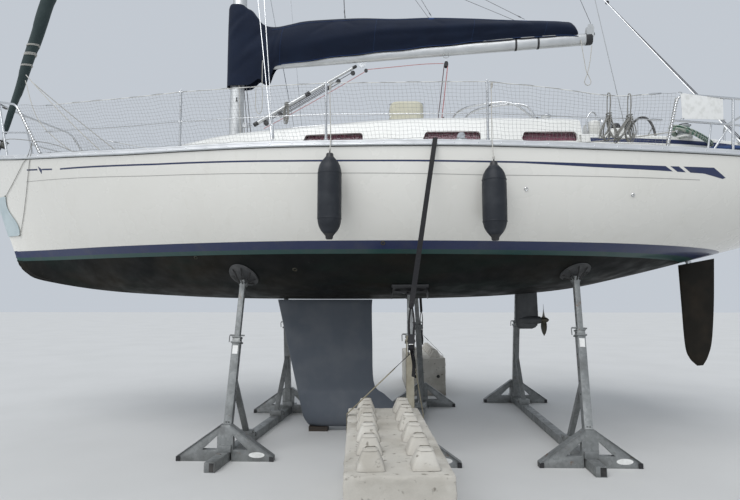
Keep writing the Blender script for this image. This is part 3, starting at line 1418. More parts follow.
def build_washboard():
    form = Form()
    x0, x1 = 2.7505, 2.7715
    outline = [(-0.325, 2.93), (0.325, 2.93), (0.325, 3.5), (0.305, 3.524), (-0.305, 3.524), (-0.325, 3.5)]

    def board(x, grow):
        return [pt(x, y - copysign(grow, y), z - grow if z > 3.2 else z + grow) for y, z in outline]

    form.rings([board(x0, 0.003), board(x0 + 0.003, 0), board(x1 - 0.003, 0), board(x1, 0.003)])
    for z in (3.125, 3.325):
        form.slab(x0 - 0.0004, x1 + 0.0004, 0.322, z - 0.002, z + 0.002, 1)
    form.turned([(0.02, 0), (0.02, 0.004), (0.014, 0.006), (0.006, 0.006)], (x1, 0, 3.44), X, 18, 2)
    for k in range(4):
        form.slab(x1 - 0.001, x1 + 0.003, 0.1, 3.2 + 0.022 * k, 3.207 + 0.022 * k, 1)
    make("washboard_dressed", form, [DARK_ACRYLIC, BLACK_PLASTIC, STAINLESS], replaces="washboard")


def build_hatchway_trim():
    form = Form()
    for side in (-1, 1):
        for x0, x1, near, far in ((2.735, 2.7485, 0.302, 0.345), (2.7735, 2.78, 0.305, 0.348)):
            y0, y1 = sorted((side * near, side * far))
            form.box((x0, y0, 2.925), (x1, y1, 3.4))
    soften(make("hatchway_trim", form, [TEAK]), 0.002)


build_sliding_hatch()
build_washboard()
build_hatchway_trim()


# %% Cockpit, lockers and the lids on deck
def build_cockpit():
    """The cockpit keeps its form. Its edges are rounded off as moulded glass fibre is."""
    refine("cockpit", [DECK_WHITE], bevel=0.016, segments=3)
    fittings = Form()
    for x in (2.86, 4.08):
        for side in (-1, 1):
            fittings.turned([(0.028, 0), (0.028, 0.002), (0.02, 0.003), (0.018, 0.0005), (0.001, 0.0005)],
                (x, side * 0.31, 2.4505), Z, 20)
    for y in (-0.72, 0.72):
        fittings.box((4.02, y - 0.022, 2.8005), (4.1, y + 0.022, 2.8035))
    fittings.slab(4.1365, 4.1395, 0.16, 2.54, 2.7, 1)
    make("cockpit_fittings", fittings, [STAINLESS, GREY_PLASTIC])


def build_locker_lid():
    x0, x1, y0, y1 = 3.085, 3.915, -0.955, -0.485
    middle = (y0 + y1) / 2

    def outline(inset, z):
        return [pt(x, middle + y, z) for x, y in hatch_outline(x0, x1, (y1 - y0) / 2, inset, 0.04)]

    form = Form().rings([outline(0.001, 2.8005), outline(0.001, 2.817), outline(0.006, 2.824),
        outline(0.014, 2.8256)])
    form.rings([outline(0.045, 2.8254), outline(0.046, 2.8262), outline(0.06, 2.8266)], 1)
    form.box((3.46, y1 - 0.03, 2.8256), (3.54, y1 - 0.012, 2.8285), 2)
    for x in (3.25, 3.75):
        form.box((x - 0.035, y0 + 0.002, 2.8256), (x + 0.035, y0 + 0.03, 2.8282), 2)
        form.pin(0.004, 0.034, (x, y0 - 0.001, 2.83), X, 10, 2)
    make("locker_lid_dressed", form, [DECK_WHITE, NONSKID, STAINLESS], "locker_lid", "locker_lid")


def build_anchor_lid():
    x0, x1 = -3.72, -3.08

    def outline(inset, lift):
        a, b = 0.12 - inset * 0.8, 0.33 - inset * 1.1
        xa, xb = x0 + inset, x1 - inset
        return [pt(x, y, deck_at(x, y) + lift) for x, y in ((xa, -a), (xa, 0), (xa, a), (xa + 0.02, a + 0.01),
            (-3.4, (a + b) / 2 + 0.003), (xb - 0.02, b), (xb, b - 0.02), (xb, 0), (xb, -b + 0.02),
            (xb - 0.02, -b), (-3.4, -(a + b) / 2 - 0.003), (xa + 0.02, -a - 0.01))]

    form = Form().rings([outline(0.002, 0.004), outline(0.002, 0.017), outline(0.007, 0.0215),
        outline(0.018, 0.0225)])
    form.rings([outline(0.045, 0.0222), outline(0.046, 0.0232), outline(0.062, 0.0236)], 1)
    form.turned([(0.018, 0), (0.018, 0.003), (0.012, 0.005), (0.004, 0.005)],
        (-3.64, 0, deck_at(-3.64, 0) + 0.022), Z, 16, 2)
    make("anchor_lid_dressed", form, [DECK_WHITE, NONSKID, STAINLESS], "anchor_lid", "anchor_lid")
    hinges = Form()
    for y in (-0.2, 0.2):
        z = deck_at(-3.06, y)
        hinges.box((-3.062, y - 0.03, z - 0.002), (-3.03, y + 0.03, z + 0.004))
        hinges.pin(0.005, 0.03, (-3.066, y, z + 0.006), Y, 10)
    make("anchor_lid_hinges", hinges, [STAINLESS])


build_cockpit()
build_locker_lid()
build_anchor_lid()
print("hatches and lids dressed")

# %% [markdown]
# Ropes are led and held by deck gear: winches with a waisted drum, a traveller with its car, clutches and
# lead blocks by the hatch, cleats and fairleads at the rail. Each is small, so turned and bent forms do.

# %% Deck gear
WINCH_PROFILE = [(0.062, -0.01), (0.064, 0.012), (0.06, 0.018), (0.046, 0.03), (0.042, 0.052), (0.044, 0.072),
    (0.056, 0.086), (0.06, 0.092), (0.06, 0.1), (0.052, 0.104), (0.046, 0.112), (0.03, 0.116), (0.014, 0.117),
    (0.014, 0.108), (0.002, 0.108)]


def build_winches():
    x, y = WINCH
    for side, name in SIDES:
        base = pt(x, side * y, along(COAMING, x, 3) - 0.004)
        form = Form().turned([(0.08, -0.012), (0.078, 0.006), (0.07, 0.01)], base, Z, 28, 1)
        form.turned(WINCH_PROFILE, base + rise(0.01), Z, 32)
        arm = base + rise(0.118)
        form.turned([(0.044, -0.006), (0.05, 0), (0.048, 0.01), (0.02, 0.014), (0.004, 0.014)], arm, Z, 24, 2)
        form.box((arm.x + 0.03, arm.y - 0.012, arm.z - 0.002), (arm.x + 0.072, arm.y + 0.012, arm.z + 0.008), 2)
        make(f"winch_{name}", form, [GREY_PLASTIC, DECK_WHITE, BLACK_PLASTIC])


def cleat(form, at, way, size, finish=0):
    """A horn cleat on two legs."""
    at, way = Vector(at), Vector(way).normalized()
    for s in (-0.13, 0.13):
        form.turned([(0.016, -0.006), (0.012, 0.006), (0.009, 0.024), (0.011, 0.036)],
            at + way * s * size * 1.4, Z, 12, finish)
    ts = spread(-1, 1, 11)
    form.tube([at + way * t * size / 2 + rise(0.038 + 0.01 * t * t) for t in ts],
        [0.004 + 0.008 * (1 - (abs(t) ** 2.5)) for t in ts], 10, finish)


def build_cleats():
    form = Form()
    for side in (-1, 1):
        for x, inset in ((-3.02, 0.075), (0.88, 0.075), (4.42, 0.105)):
            y = half_beam(x) - inset
            way = pt(1, side * (half_beam(x + 0.1) - half_beam(x - 0.1)) / 0.2, 0)
            cleat(form, (x, side * y, deck_at(x, y) + 0.004), way, 0.22)
        x = 1.465
        ring = pt(x, side * (half_beam(x) - 0.012), sheer(x) + 0.066)
        form.turned([(0.03, -0.018), (0.036, -0.012), (0.03, 0), (0.036, 0.012), (0.03, 0.018), (0.022, 0.01),
            (0.02, 0), (0.022, -0.01), (0.03, -0.018)], ring, Y)
        form.block(x, ring.y, 0.05, 0.014, sheer(x) + 0.036, sheer(x) + 0.042)
    make("cleats_and_leads", form, [STAINLESS])


def build_traveller():
    form = Form()
    for y in spread(-0.42, 0.42, 5):
        form.box((1.425, y - 0.035, roof_at(1.44, y) - 0.01), (1.455, y + 0.035, 3.516), 1)
    rail = [(1.42, 3.514), (1.46, 3.514), (1.46, 3.52), (1.452, 3.526), (1.455, 3.534), (1.45, 3.54),
        (1.43, 3.54), (1.425, 3.534), (1.428, 3.526), (1.42, 3.52)]
    form.rings([[pt(x, y, z) for x, z in rail] for y in (-0.46, 0.46)])
    for side in (-1, 1):
        form.box((1.412, side * 0.452 - 0.014, 3.508), (1.468, side * 0.452 + 0.014, 3.546), 2)
        form.sheave(0.02, 0.014, 0.009, (1.44, side * 0.43, 3.558), X, 16, 2)
    form.slab(1.4, 1.48, 0.075, 3.536, 3.552, 2)
    form.slab(1.425, 1.455, 0.045, 3.552, 3.566, 3)
    soften(make("traveller", form, [RAIL_ALLOY, DECK_WHITE, BLACK_PLASTIC, STAINLESS]), 0.002)


STEP_BLOCKS = [(-1.09, 0.125), (-0.98, 0.113), (-0.89, 0.101)]  # x and y of the blocks round the mast's step
LEAD_X, LEAD_Y = -0.55, (0.3, 0.35, 0.4)  # the blocks that turn the halyards aft
CLUTCH_Y = (0.5, 0.545, 0.59)


def build_clutches():
    """Rope clutches, turning blocks and small winches by the hatch, where the mast's lines arrive."""
    form = Form()
    for side in (-1, 1):
        for out in CLUTCH_Y:
            y, z = side * out, roof_at(2.3, out)
            form.block(2.3, y, 0.08, 0.019, z - 0.006, z + 0.034)
            form.bar((2.36, y, z + 0.036), (2.27, y, z + 0.058), 0.03, 0.008, Y, 1)
        base = pt(2.56, side * 0.56, roof_at(2.56, 0.56) - 0.004)
        form.turned([(r * 0.92, h) for r, h in WINCH_PROFILE], base, Z, 28, 2)
        for out in LEAD_Y:
            y, z = side * out, roof_at(LEAD_X, out)
            form.block(LEAD_X, y, 0.05, 0.02, z - 0.004, z + 0.008, 2)
            form.sheave(0.022, 0.015, 0.01, (LEAD_X, y, z + 0.024), (side * 0.3, 0.2, 1), 16, 1)
    soften(make("clutches_and_blocks", form, [GREY_PLASTIC, BLACK_PLASTIC, STAINLESS]), 0.0015)


def build_handrails():
    form = Form()
    feet = [(x, roof_at(x, 0.66)) for x in spread(-0.3, 1.3, 4)]
    for y in (-0.66, 0.66):
        for (a, za), (b, zb) in zip(feet, feet[1:]):
            path = [(a + 0.02, y, za - 0.004), (a + 0.05, y, za + 0.045), (b - 0.05, y, zb + 0.045),
                (b - 0.02, y, zb - 0.004)]
            form.tube(bent(path, 0.05), 0.011)
        for x, z in feet:
            form.turned([(0.022, -0.006), (0.02, 0.003), (0.012, 0.006)], (x, y, z + 0.001), Z, 14)
    make("coachroof_handrails", form, [STAINLESS])


build_winches()
build_cleats()
build_traveller()
build_clutches()
build_handrails()
print("deck gear made")

# %% [markdown]
# Below the hull are a cast keel with a bulb, a spade rudder and the leg of the engine's drive with a
# two-bladed propeller. All are foils: a row of chords is given, and one smooth section is fitted to each.

# %% Foils under the hull
FOIL = [(0, 0), (0.012, 0.19), (0.04, 0.33), (0.1, 0.44), (0.18, 0.49), (0.28, 0.5), (0.42, 0.46), (0.58, 0.37),
    (0.74, 0.25), (0.88, 0.12), (1, 0.03)]
# The keel: nose x and z, tail x and z, thickness
KEEL = [(-0.54, 1.64, 0.65, 1.64, 0.15), (-0.503, 1.5, 0.618, 1.5, 0.142), (-0.387, 1, 0.622, 1, 0.128),
    (-0.279, 0.534, 0.641, 0.534, 0.124), (-0.248, 0.402, 0.769, 0.402, 0.17),
    (-0.215, 0.261, 0.925, 0.261, 0.228), (-0.19, 0.16, 1.01, 0.16, 0.246), (-0.15, 0.09, 1, 0.09, 0.214),
    (-0.118, 0.055, 0.96, 0.055, 0.15)]
RUDDER = [(4.214, 1.905, 4.634, 1.985, 0.064), (4.228, 1.44, 4.602, 1.46, 0.054),
    (4.245, 0.981, 4.556, 1.039, 0.042), (4.29, 0.83, 4.5, 0.85, 0.03), (4.37, 0.745, 4.44, 0.75, 0.012)]


DRIVE_X, SHAFT_Z = 2.3, 1.267


def foil_ring(nose, tail, thick):
    nose, tail = pt(nose[0], 0, nose[1]), pt(tail[0], 0, tail[1])
    upper = [nose.lerp(tail, s) + pt(0, t * thick, 0) for s, t in FOIL]
    lower = [nose.lerp(tail, s) - pt(0, t * thick, 0) for s, t in FOIL[1:]]
    return upper + lower[::-1]


def foil_rings(table, steps):
    keyed = [(i, *row) for i, row in enumerate(table)]
    rings = []
    for k in spread(0, len(table) - 1, steps):
        a, b, c, d, thick = (along(keyed, k, column) for column in range(1, 6))
        rings.append(foil_ring((a, b), (c, d), thick))
    return rings


def build_keel():
    top = foil_ring((-0.505, 1.506), (0.622, 1.506), 0.142)
    rings = foil_rings(KEEL, 42)
    rings = [top] + [ring for ring in rings if max(p.z for p in ring) < 1.499]
    soften(make("cast_keel", Form().rings(rings), [KEEL_GREY], replaces="keel"), 0.006, 2,
        40)


def build_rudder():
    form = Form().rings(foil_rings(RUDDER, 30))
    form.turned([(0.025, 0), (0.025, 0.42)], (4.33, 0, 1.905), Z, 24, 1)
    form.turned([(0.034, 0), (0.034, 0.012), (0.026, 0.016)], (4.33, 0, 1.94), Z, 24, 1)
    make("spade_rudder", form, [RUDDER_BROWN, STAINLESS], "rudder", "rudder", crease=40)


def build_drive():
    """The drive's leg is a broad fin that swells into a bullet where the propeller's shaft comes out."""
    form = Form()
    legs = [(1.165, 0.15, 0.03), (1.18, 0.21, 0.052), (1.205, 0.248, 0.066), (1.27, 0.268, 0.07),
        (1.4, 0.262, 0.07), (1.64, 0.252, 0.07), (1.745, 0.25, 0.07)]
    rings = []
    for z, chord, thick in legs:
        nose = DRIVE_X + (0.268 - chord) * 0.35
        rings.append(foil_ring((nose, z), (nose + chord, z), thick))
    form.rings(rings)
    bullet = [(0.004, 0), (0.024, 0.014), (0.04, 0.045), (0.05, 0.1), (0.052, 0.16), (0.049, 0.22),
        (0.044, 0.27), (0.04, 0.29), (0.001, 0.291)]
    form.turned(bullet, (DRIVE_X, 0, SHAFT_Z), X, 28)
    for side in (-1, 1):
        for k in range(3):
            z = 1.53 + 0.035 * k
            form.box((2.355, side * 0.031 - 0.003, z), (2.405, side * 0.031 + 0.003, z + 0.008), 1)
    plate = [(2.28, -0.06), (2.38, -0.105), (2.5, -0.105), (2.575, -0.05), (2.575, 0.05), (2.5, 0.105),
        (2.38, 0.105), (2.28, 0.06)]
    form.extrude([(x, y, 1.753) for x, y in plate], (0, 0, 0.006), 2)
    make("drive_leg", form, [DRIVE_GREY, BLACK_PLASTIC, RUBBER], replaces="saildrive",
        crease=40)


def build_propeller():
    hub = pt(DRIVE_X + 0.3, 0, SHAFT_Z)
    form = Form().turned([(0.03, -0.002), (0.033, 0.01), (0.033, 0.05), (0.024, 0.072), (0.01, 0.088),
        (0.001, 0.091)], hub, X, 28)
    form.turned([(0.012, 0.084), (0.012, 0.089), (0.004, 0.09)], hub, X, 6, 1)
    for hand in (-1, 1):
        rings = []
        for r in spread(0.02, 0.186, 16):
            s = (r - 0.02) / 0.166
            chord = 0.042 + 0.066 * sin(pi * min(1, s * 0.82 + 0.1)) - 0.06 * s ** 6
            pitch = atan2(0.29, 2 * pi * (r + 0.02))
            thick = 0.01 * (1 - s) + 0.0022
            centre = hub + pt(0.03, 0, hand * r)
            across = pt(sin(pitch), hand * cos(pitch), 0)
            normal = pt(cos(pitch), -hand * sin(pitch), 0)
            rings.append([centre + across * chord / 2 * cos(a) + normal * thick / 2 * sin(a)
                for a in around(16)])
        form.rings(rings)
        form.pin(0.02, 0.012, hub + pt(0.03, 0, hand * 0.028), Z, 18)
    make("folding_propeller", form, [BRONZE, STAINLESS], "propeller", "propeller", crease=40)


build_keel()
build_rudder()
build_drive()
build_propeller()
refine("engine", [ENGINE_GREEN], bevel=0.02, segments=3)
print("keel, rudder and drive made")

# %% [markdown]
# The mast and boom are extruded alloy tubes with a groove for the sail. One section is swept up the rake,
# and the spreaders, the step and the sheaves are set on it. A plain cylinder would lose the groove.


# %% Mast and spreaders
def mast_x(z):
    return -1.055 + (z - 3.4) * 105 / 12600


MAST_A, MAST_B = 0.087, 0.056
SPREADERS = [(7.3, 0.93, 0.3), (11.1, 0.74, 0.235)]  # height of the root, length, sweep aft


def mast_ring(z, size=1):
    ring = [(0.08, 0.0065), (0.08, -0.0065), (0.086, -0.0075)]
    for k in range(1, 27):
        a = -0.2 - (2 * pi - 0.4) * (k - 0.5) / 26
        ring.append((MAST_A * cos(a), MAST_B * sin(a) * (1.06 - 0.06 * cos(a))))
    ring.append((0.086, 0.0075))
    return [pt(mast_x(z) + x * size, y * size, z) for x, y in ring]


def build_mast():
    form = Form()
    heights = [3.375, 3.6] + spread(4.2, 13, 8) + [14, 15, 15.92]
    form.rings([mast_ring(z, 1 if z <= 13 else 1 - 0.11 * (z - 13)) for z in heights])
    for z, length, sweep in SPREADERS:
        form.pin(0.02, 0.115, (mast_x(z) + 0.012, 0, z + 0.002), Y, 14, 1)
        for side in (-1, 1):
            root = pt(mast_x(z) + 0.02, side * 0.05, z + 0.003)
            tip = pt(mast_x(z) + sweep, side * length, z + 0.06)
            rings = []
            for s in spread(0, 1, 7):
                chord, thick = 0.072 - 0.03 * s, 0.022 - 0.006 * s
                centre = root.lerp(tip, s)
                rings.append([centre + pt(chord / 2 * cos(a), 0, thick / 2 * sin(a)) for a in around(14)])
            form.rings(rings)
            form.turned([(0.013, -0.01), (0.017, -0.004), (0.017, 0.008), (0.012, 0.012)],
                tip + pt(0, side * -0.012, 0), (0, side, 0), 14, 2)
    top = mast_x(15.95)
    form.slab(top - 0.085, top + 0.15, 0.026, 15.9, 15.955, 1)
    form.sheave(0.032, 0.024, 0.012, (top + 0.12, 0, 15.915), Y, 18, 2)
    form.turned([(0.014, 0), (0.018, 0.006), (0.018, 0.03), (0.01, 0.04), (0.001, 0.041)],
        (top - 0.02, 0, 15.955), Z, 14, 2)
    lamp = pt(mast_x(9) - MAST_A + 0.004, 0, 9)
    form.slab(lamp.x - 0.055, lamp.x + 0.006, 0.03, 8.97, 9.05, 2)
    for z in (4.33, 4.456):
        x = mast_x(z) + MAST_A - 0.012
        form.slab(x, -0.896, 0.03, z, z + 0.012, 1)
    form.slab(mast_x(3.66) + MAST_A - 0.01, -0.874, 0.016, 3.615, 3.665, 1)
    form.pin(0.008, 0.022, (-0.872, 0, 3.64), Y, 12, 1)
    for side in (-1, 1):
        for z in (3.98, 4.02):
            form.turned([(0.005, 0), (0.005, 0.004)], (mast_x(z), side * MAST_B, z), (0, side, 0), 8, 1)
        cleat(form, (mast_x(3.95) + 0.01, side * (MAST_B - 0.004), 3.93), Z, 0.0001, 2)
    make("mast_dressed", form, [SPAR, STAINLESS, BLACK_PLASTIC], replaces="mast", crease=36)


def build_mast_step():
    """The cast step on the coachroof, with a ring of blocks that turn the halyards aft."""
    form = Form()
    x0 = mast_x(3.4)
    low = roof_at(x0, 0.06)
    form.rings([[pt(x0 + a * cos(t), b * sin(t), z) for t in around(24)]
        for z, a, b in ((low - 0.01, 0.125, 0.095), (low + 0.014, 0.125, 0.095), (low + 0.02, 0.105, 0.075),
        (low + 0.055, 0.1, 0.068))])
    for side in (-1, 1):
        for x, out in STEP_BLOCKS:
            y, z = side * out, roof_at(x, out)
            form.block(x, y, 0.02, 0.01, z - 0.004, z + 0.01, 2)
            for s in (-1, 1):
                form.turned([(0.026, 0), (0.028, 0.002), (0.026, 0.004)], (x, y + s * 0.012 - 0.002, z + 0.036),
                    Y, 16, 1)
            form.sheave(0.022, 0.016, 0.009, (x, y, z + 0.036), Y, 16, 2)
    make("mast_step", form, [SPAR, BLACK_PLASTIC, STAINLESS])


build_mast()
build_mast_step()

# %% [markdown]
# The headsail is rolled up on its stay, with the dark sun strip outwards. Each turn of the roll ends in an
# edge that climbs in a spiral, so the radius steps up once in every turn, a little later at each height.


# %% Headsail and furler
STAY_WAY = (0.2667, 0, 1)


def stay_x(z):
    return -4.045 + (z - 3.235) * STAY_WAY[0]


HEADSAIL = [(3.56, 0.026), (3.64, 0.034), (3.9, 0.042), (4.5, 0.066), (5.3, 0.084), (7.2, 0.09), (10, 0.076),
    (13, 0.048), (14, 0.03), (14.16, 0.016)]


def build_headsail():
    rings = []
    for z in spread(3.562, 14.16, 190):
        turn = (z - 3.5) / 0.62
        ring = []
        for k, a in enumerate(around(26)):
            step = (k / 26 + turn) % 1
            edge = 0.0065 * (1 - step) + 0.0025 * sin(9 * z + 3 * a) - 0.007
            r = max(0.012, along(HEADSAIL, z) + edge * min(1, (z - 3.5) / 0.5))
            ring.append(pt(stay_x(z) + r * cos(a), r * sin(a), z))
        rings.append(ring)
    form = Form().rings(rings)
    form.tube([(stay_x(z), 0, z) for z in (14.1, 14.54)], 0.01, 10, 1)
    form.turned([(0.024, -0.05), (0.03, -0.04), (0.03, 0.04), (0.024, 0.05)], (stay_x(14.26), 0, 14.26),
        STAY_WAY, 16, 2)
    make("headsail_rolled", form, [UV_CLOTH, STAINLESS, BLACK_PLASTIC], replaces="furled_headsail",
        crease=26)
    ties = Form()
    for z, r, turns in ((4.42, 0.063, 2), (4.56, 0.067, 3), (4.68, 0.071, 2), (8.6, 0.085, 2)):
        path = []
        for k in range(turns * 18 + 1):
            a = 2 * pi * k / 18
            h = z + 0.012 * k / 18 + 0.012 * sin(a)
            path.append((stay_x(h) + r * cos(a), r * sin(a), h))
        ties.tube(path, 0.0045, 7)
    make("headsail_lashings", ties, [ROPE_WHITE])


def build_furler():
    def at(z):
        return pt(stay_x(z), 0, z)

    form = Form().turned([(0.012, 0), (0.012, 0.15)], at(3.415), STAY_WAY, 16)
    for z in (3.388, 3.462):
        form.turned([(0.074, -0.004), (0.08, 0), (0.08, 0.005), (0.074, 0.009), (0.014, 0.012)], at(z),
            STAY_WAY, 32, 1)
    form.turned([(0.034, 0), (0.034, 0.07)], at(3.392), STAY_WAY, 20, 1)
    for a in around(6):
        off = pt(0.07 * cos(a), 0.07 * sin(a), 0)
        form.tube([at(3.392) + off, at(3.462) + off], 0.004, 6)
    form.turned([(0.02, 0), (0.02, 0.09), (0.014, 0.1)], at(3.29), STAY_WAY, 16)
    form.slab(stay_x(3.27) - 0.022, stay_x(3.27) + 0.022, 0.004, 3.262, 3.305)
    form.pin(0.007, 0.022, at(3.292), Y, 12)
    for k in range(5):
        z = 3.402 + 0.012 * k
        r = 0.052 + 0.004 * (k % 2)
        form.tube(circle(at(z), (1, 0, -0.26), Y, r, 22), 0.0055, 7, 2, loop=True)
    make("furler_drum", form, [STAINLESS, BLACK_PLASTIC, ROPE_GREY], replaces="furler")


build_headsail()
build_furler()

# %% [markdown]
# Standing rigging is wire with a screw at its foot. The wires are straight tubes. The screws are turned
# bodies with a fork at each end, and they are what the eye finds at the rail.

# %% Standing rigging
WIRE = 0.005


def rigging_screw(form, foot, toward):
    """An open-bodied screw with its fork, from a foot towards the wire."""
    foot, way = Vector(foot), (Vector(toward) - Vector(foot)).normalized()
    profile = [(0.013, 0), (0.013, 0.03), (0.007, 0.04), (0.007, 0.075), (0.0125, 0.08), (0.014, 0.095),
        (0.0135, 0.15), (0.014, 0.215), (0.0125, 0.23), (0.007, 0.235), (0.007, 0.262), (0.01, 0.268),
        (0.0085, 0.3)]
    form.turned(profile, foot, way, 12)
    form.pin(0.006, 0.018, foot + way * 0.01, X, 10)


def build_shrouds(side, name):
    x, y = -0.337, 1.185
    foot = pt(x, side * y, deck_at(x, y) + 0.06)
    tips = [pt(mast_x(z) + sweep, side * (length + 0.009), z + 0.06) for z, length, sweep in SPREADERS]
    top = pt(mast_x(14.6) + 0.01, side * 0.048, 14.6)
    form = Form().tube([foot, *tips, top], WIRE, 8)
    inner = foot + pt(-0.014, side * -0.028, 0)
    form.tube([inner, pt(mast_x(7.15), side * 0.05, 7.15)], WIRE, 8)
    form.tube([tips[0], pt(mast_x(11), side * 0.05, 11)], WIRE * 0.8, 8)
    rigging_screw(form, foot + rise(0.012), tips[0])
    rigging_screw(form, inner + rise(0.012), (mast_x(7.15), side * 0.05, 7.15))
    form.block(x, side * y, 0.022, 0.005, foot.z - 0.07, foot.z + 0.028)
    form.block(x, side * 1.1775, 0.04, 0.0275, foot.z - 0.063, foot.z - 0.056)
    for tip in tips:
        form.turned([(0.011, -0.03), (0.014, -0.01), (0.014, 0.01), (0.011, 0.03)], tip, Z, 12, 1)
    make(f"shroud_wires_{name}", form, [STAINLESS, WHITE_PLASTIC], replaces=f"shrouds_{name}")


def build_backstay():
    x, y = 4.38, 1.15  # of the feet at the quarters
    plate = pt(3.355, 0, 5.35)
    top = pt(mast_x(15.9) + 0.128, 0, 15.74)
    form = Form().tube([top, plate + rise(0.03)], WIRE, 8)
    form.extrude([plate + Vector(p) for p in ((-0.012, -0.003, 0.045), (0.03, -0.003, -0.035),
        (0, -0.003, -0.045), (-0.04, -0.003, -0.03))], (0, 0.006, 0))
    form.turned([(0.012, -0.05), (0.012, 0.06)], plate + rise(0.075), (top - plate), 12)
    for side in (-1, 1):
        foot = pt(x, side * y, deck_at(x, y))
        start = plate + pt(0.002, side * 0.014, -0.03)
        form.tube([start, foot + rise(0.03)], WIRE, 8)
        rigging_screw(form, foot + rise(0.035), start)
        form.block(x, foot.y, 0.035, 0.006, foot.z - 0.004, foot.z + 0.06)
        form.block(x, foot.y, 0.05, 0.03, foot.z - 0.003, foot.z + 0.005)
    make("backstay_wires", form, [STAINLESS], replaces="backstay")
    tackle = Form()
    foot = pt(x, -y, deck_at(x, y) + 0.05)
    up = plate + pt(0.01, -0.02, -0.06)
    for k, off in enumerate((0.016, 0.03)):
        a, b = foot.lerp(up, 0.06), foot.lerp(up, 0.92)
        shift = pt(off, 0, 0.006 * k)
        tackle.tube([a + shift, b + shift * 0.5], 0.004, 7)
    for s in (0.075, 0.915):
        at = foot.lerp(up, s) + pt(0.02, 0, 0)
        tackle.sheave(0.02, 0.022, 0.01, at, Y, 14, 1)
    make("backstay_tackle", tackle, [ROPE_DARK, BLACK_PLASTIC])


for side, name in SIDES:
    build_shrouds(side, name)
build_backstay()
print("mast, sail and stays made")

# %% [markdown]
# The boom swings with its vang. The vang is a sprung tube from the mast's foot, with a rope tackle under it.

# %% Boom and vang
BOOM_AXIS = -0.92


def boom_z(x):
    return 4.428 + 0.068 * (x + 0.52)


def boom_ring(x, high=0.072, wide=0.044):
    ring = []
    for k in range(28):
        a = pi / 2 + 2 * pi * (k + 0.5) / 28
        ring.append(pt(x, pressed(cos(a), 0.8) * wide, boom_z(x) + pressed(sin(a), 0.9) * high))
    return ring


def build_boom():
    form = Form().rings([boom_ring(x) for x in [-0.775] + spread(-0.4, 3, 6) + [3.262]])
    for cap in (((-0.862, 0.036, 0.026), (-0.83, 0.05, 0.034), (-0.785, 0.075, 0.047), (-0.755, 0.075, 0.047)),
            ((3.235, 0.0745, 0.0465), (3.3, 0.0745, 0.0465), (3.318, 0.066, 0.04))):
        form.rings([boom_ring(*row) for row in cap], 1)
    form.turned([(0.024, 0), (0.024, 0.1085)], (BOOM_AXIS, 0, 4.3455), Z, 20, 2)
    form.slab(BOOM_AXIS, -0.842, 0.016, 4.372, 4.428, 2)
    for y in (-0.018, 0.018):
        form.sheave(0.044, 0.036, 0.011, (3.3, y, boom_z(3.3) + 0.052), Y, 22, 1)
        form.sheave(0.03, 0.024, 0.006, (3.262, y, boom_z(3.26) - 0.03), Y, 18, 1)
    cheek = [(3.235, 0.02), (3.26, 0.165), (3.298, 0.178), (3.335, 0.14), (3.33, 0.01)]
    for side in (-1, 1):
        form.extrude([(x, side * 0.036 - 0.003, boom_z(3.29) + z) for x, z in cheek], (0, 0.006, 0))
    form.extrude([(x, -0.0065, boom_z(x) - 0.072 + 0.006) for x in (0.44, 0.56)]
        + [(0.52, -0.0065, boom_z(0.5) - 0.133), (0.47, -0.0065, boom_z(0.5) - 0.133)], (0, 0.013, 0), 2)
    for x in (1.5, 1.56):
        form.tube([pt(x, y, boom_z(x) + z) for y, z in [(0.0455 * sin(a), -0.0735 * cos(a) - 0.001)
            for a in spread(-1.2, 1.2, 9)]], 0.005, 8, 2)
    form.tube(bent([(1.49, 0, boom_z(1.5) - 0.07), (1.505, 0, boom_z(1.5) - 0.094),
        (1.555, 0, boom_z(1.5) - 0.094), (1.57, 0, boom_z(1.5) - 0.068)], 0.02), 0.0045, 8, 2)
    for x in (2.384, 2.656):
        form.rings([boom_ring(x + dx, 0.0755, 0.0475) for dx in (-0.012, 0.012)], 1)
    form.slab(3.3, 3.336, 0.012, boom_z(3.3) + 0.16, boom_z(3.3) + 0.186, 2)
    make("boom_dressed", form, [SPAR, BLACK_PLASTIC, STAINLESS], "boom", "boom")


VANG_LOW, VANG_HIGH = pt(-0.838, 0, 3.64), pt(0.4308, 0, 4.3824)


def build_vang():
    way = (VANG_HIGH - VANG_LOW).normalized()
    length = (VANG_HIGH - VANG_LOW).length
    under = pt(way.z, 0, -way.x)
    form = Form()
    for profile, steps, finish in (([(0.024, 0.03), (0.024, length * 0.52), (0.0185, length * 0.53)], 24, 0),
            ([(0.017, length * 0.5), (0.017, length - 0.05)], 20, 0),
            ([(0.0265, length * 0.5), (0.0265, length * 0.545)], 24, 1),
            ([(0.018, 0), (0.026, 0.008), (0.026, 0.06), (0.024, 0.064)], 20, 1),
            ([(0.019, length - 0.06), (0.02, length - 0.02), (0.016, length - 0.004)], 20, 1)):
        form.turned(profile, VANG_LOW, way, steps, finish)
    for s, size in ((0.1, 0.03), (0.24, 0.026), (0.69, 0.028), (0.8, 0.026), (0.94, 0.026)):
        at = VANG_LOW + way * length * s + under * 0.056
        form.turned([(size, -0.016), (size * 1.06, -0.012), (size * 1.06, 0.012), (size, 0.016)], at, Y, 16, 1)
        form.bar(at - way * 0.026 + under * -0.02, at + way * 0.026 + under * -0.02, 0.018, 0.006, Y, 2)
    make("vang_dressed", form, [SPAR, BLACK_PLASTIC, STAINLESS], "boom", "vang")
    ropes = Form()
    for k, (s0, s1, off) in enumerate(((0.1, 0.69, 0.034), (0.24, 0.8, 0.078), (0.1, 0.94, 0.05),
            (0.24, 0.69, 0.064))):
        shift = VANG_LOW + pt(0, 0.006 * (k % 2 * 2 - 1), 0)
        ropes.tube([shift + way * length * s + under * d for s, d in ((s0, off), (s1, off - 0.004))], 0.0045, 7)
    make("vang_tackle", ropes, [ROPE_DARK], "boom")


build_boom()
build_vang()

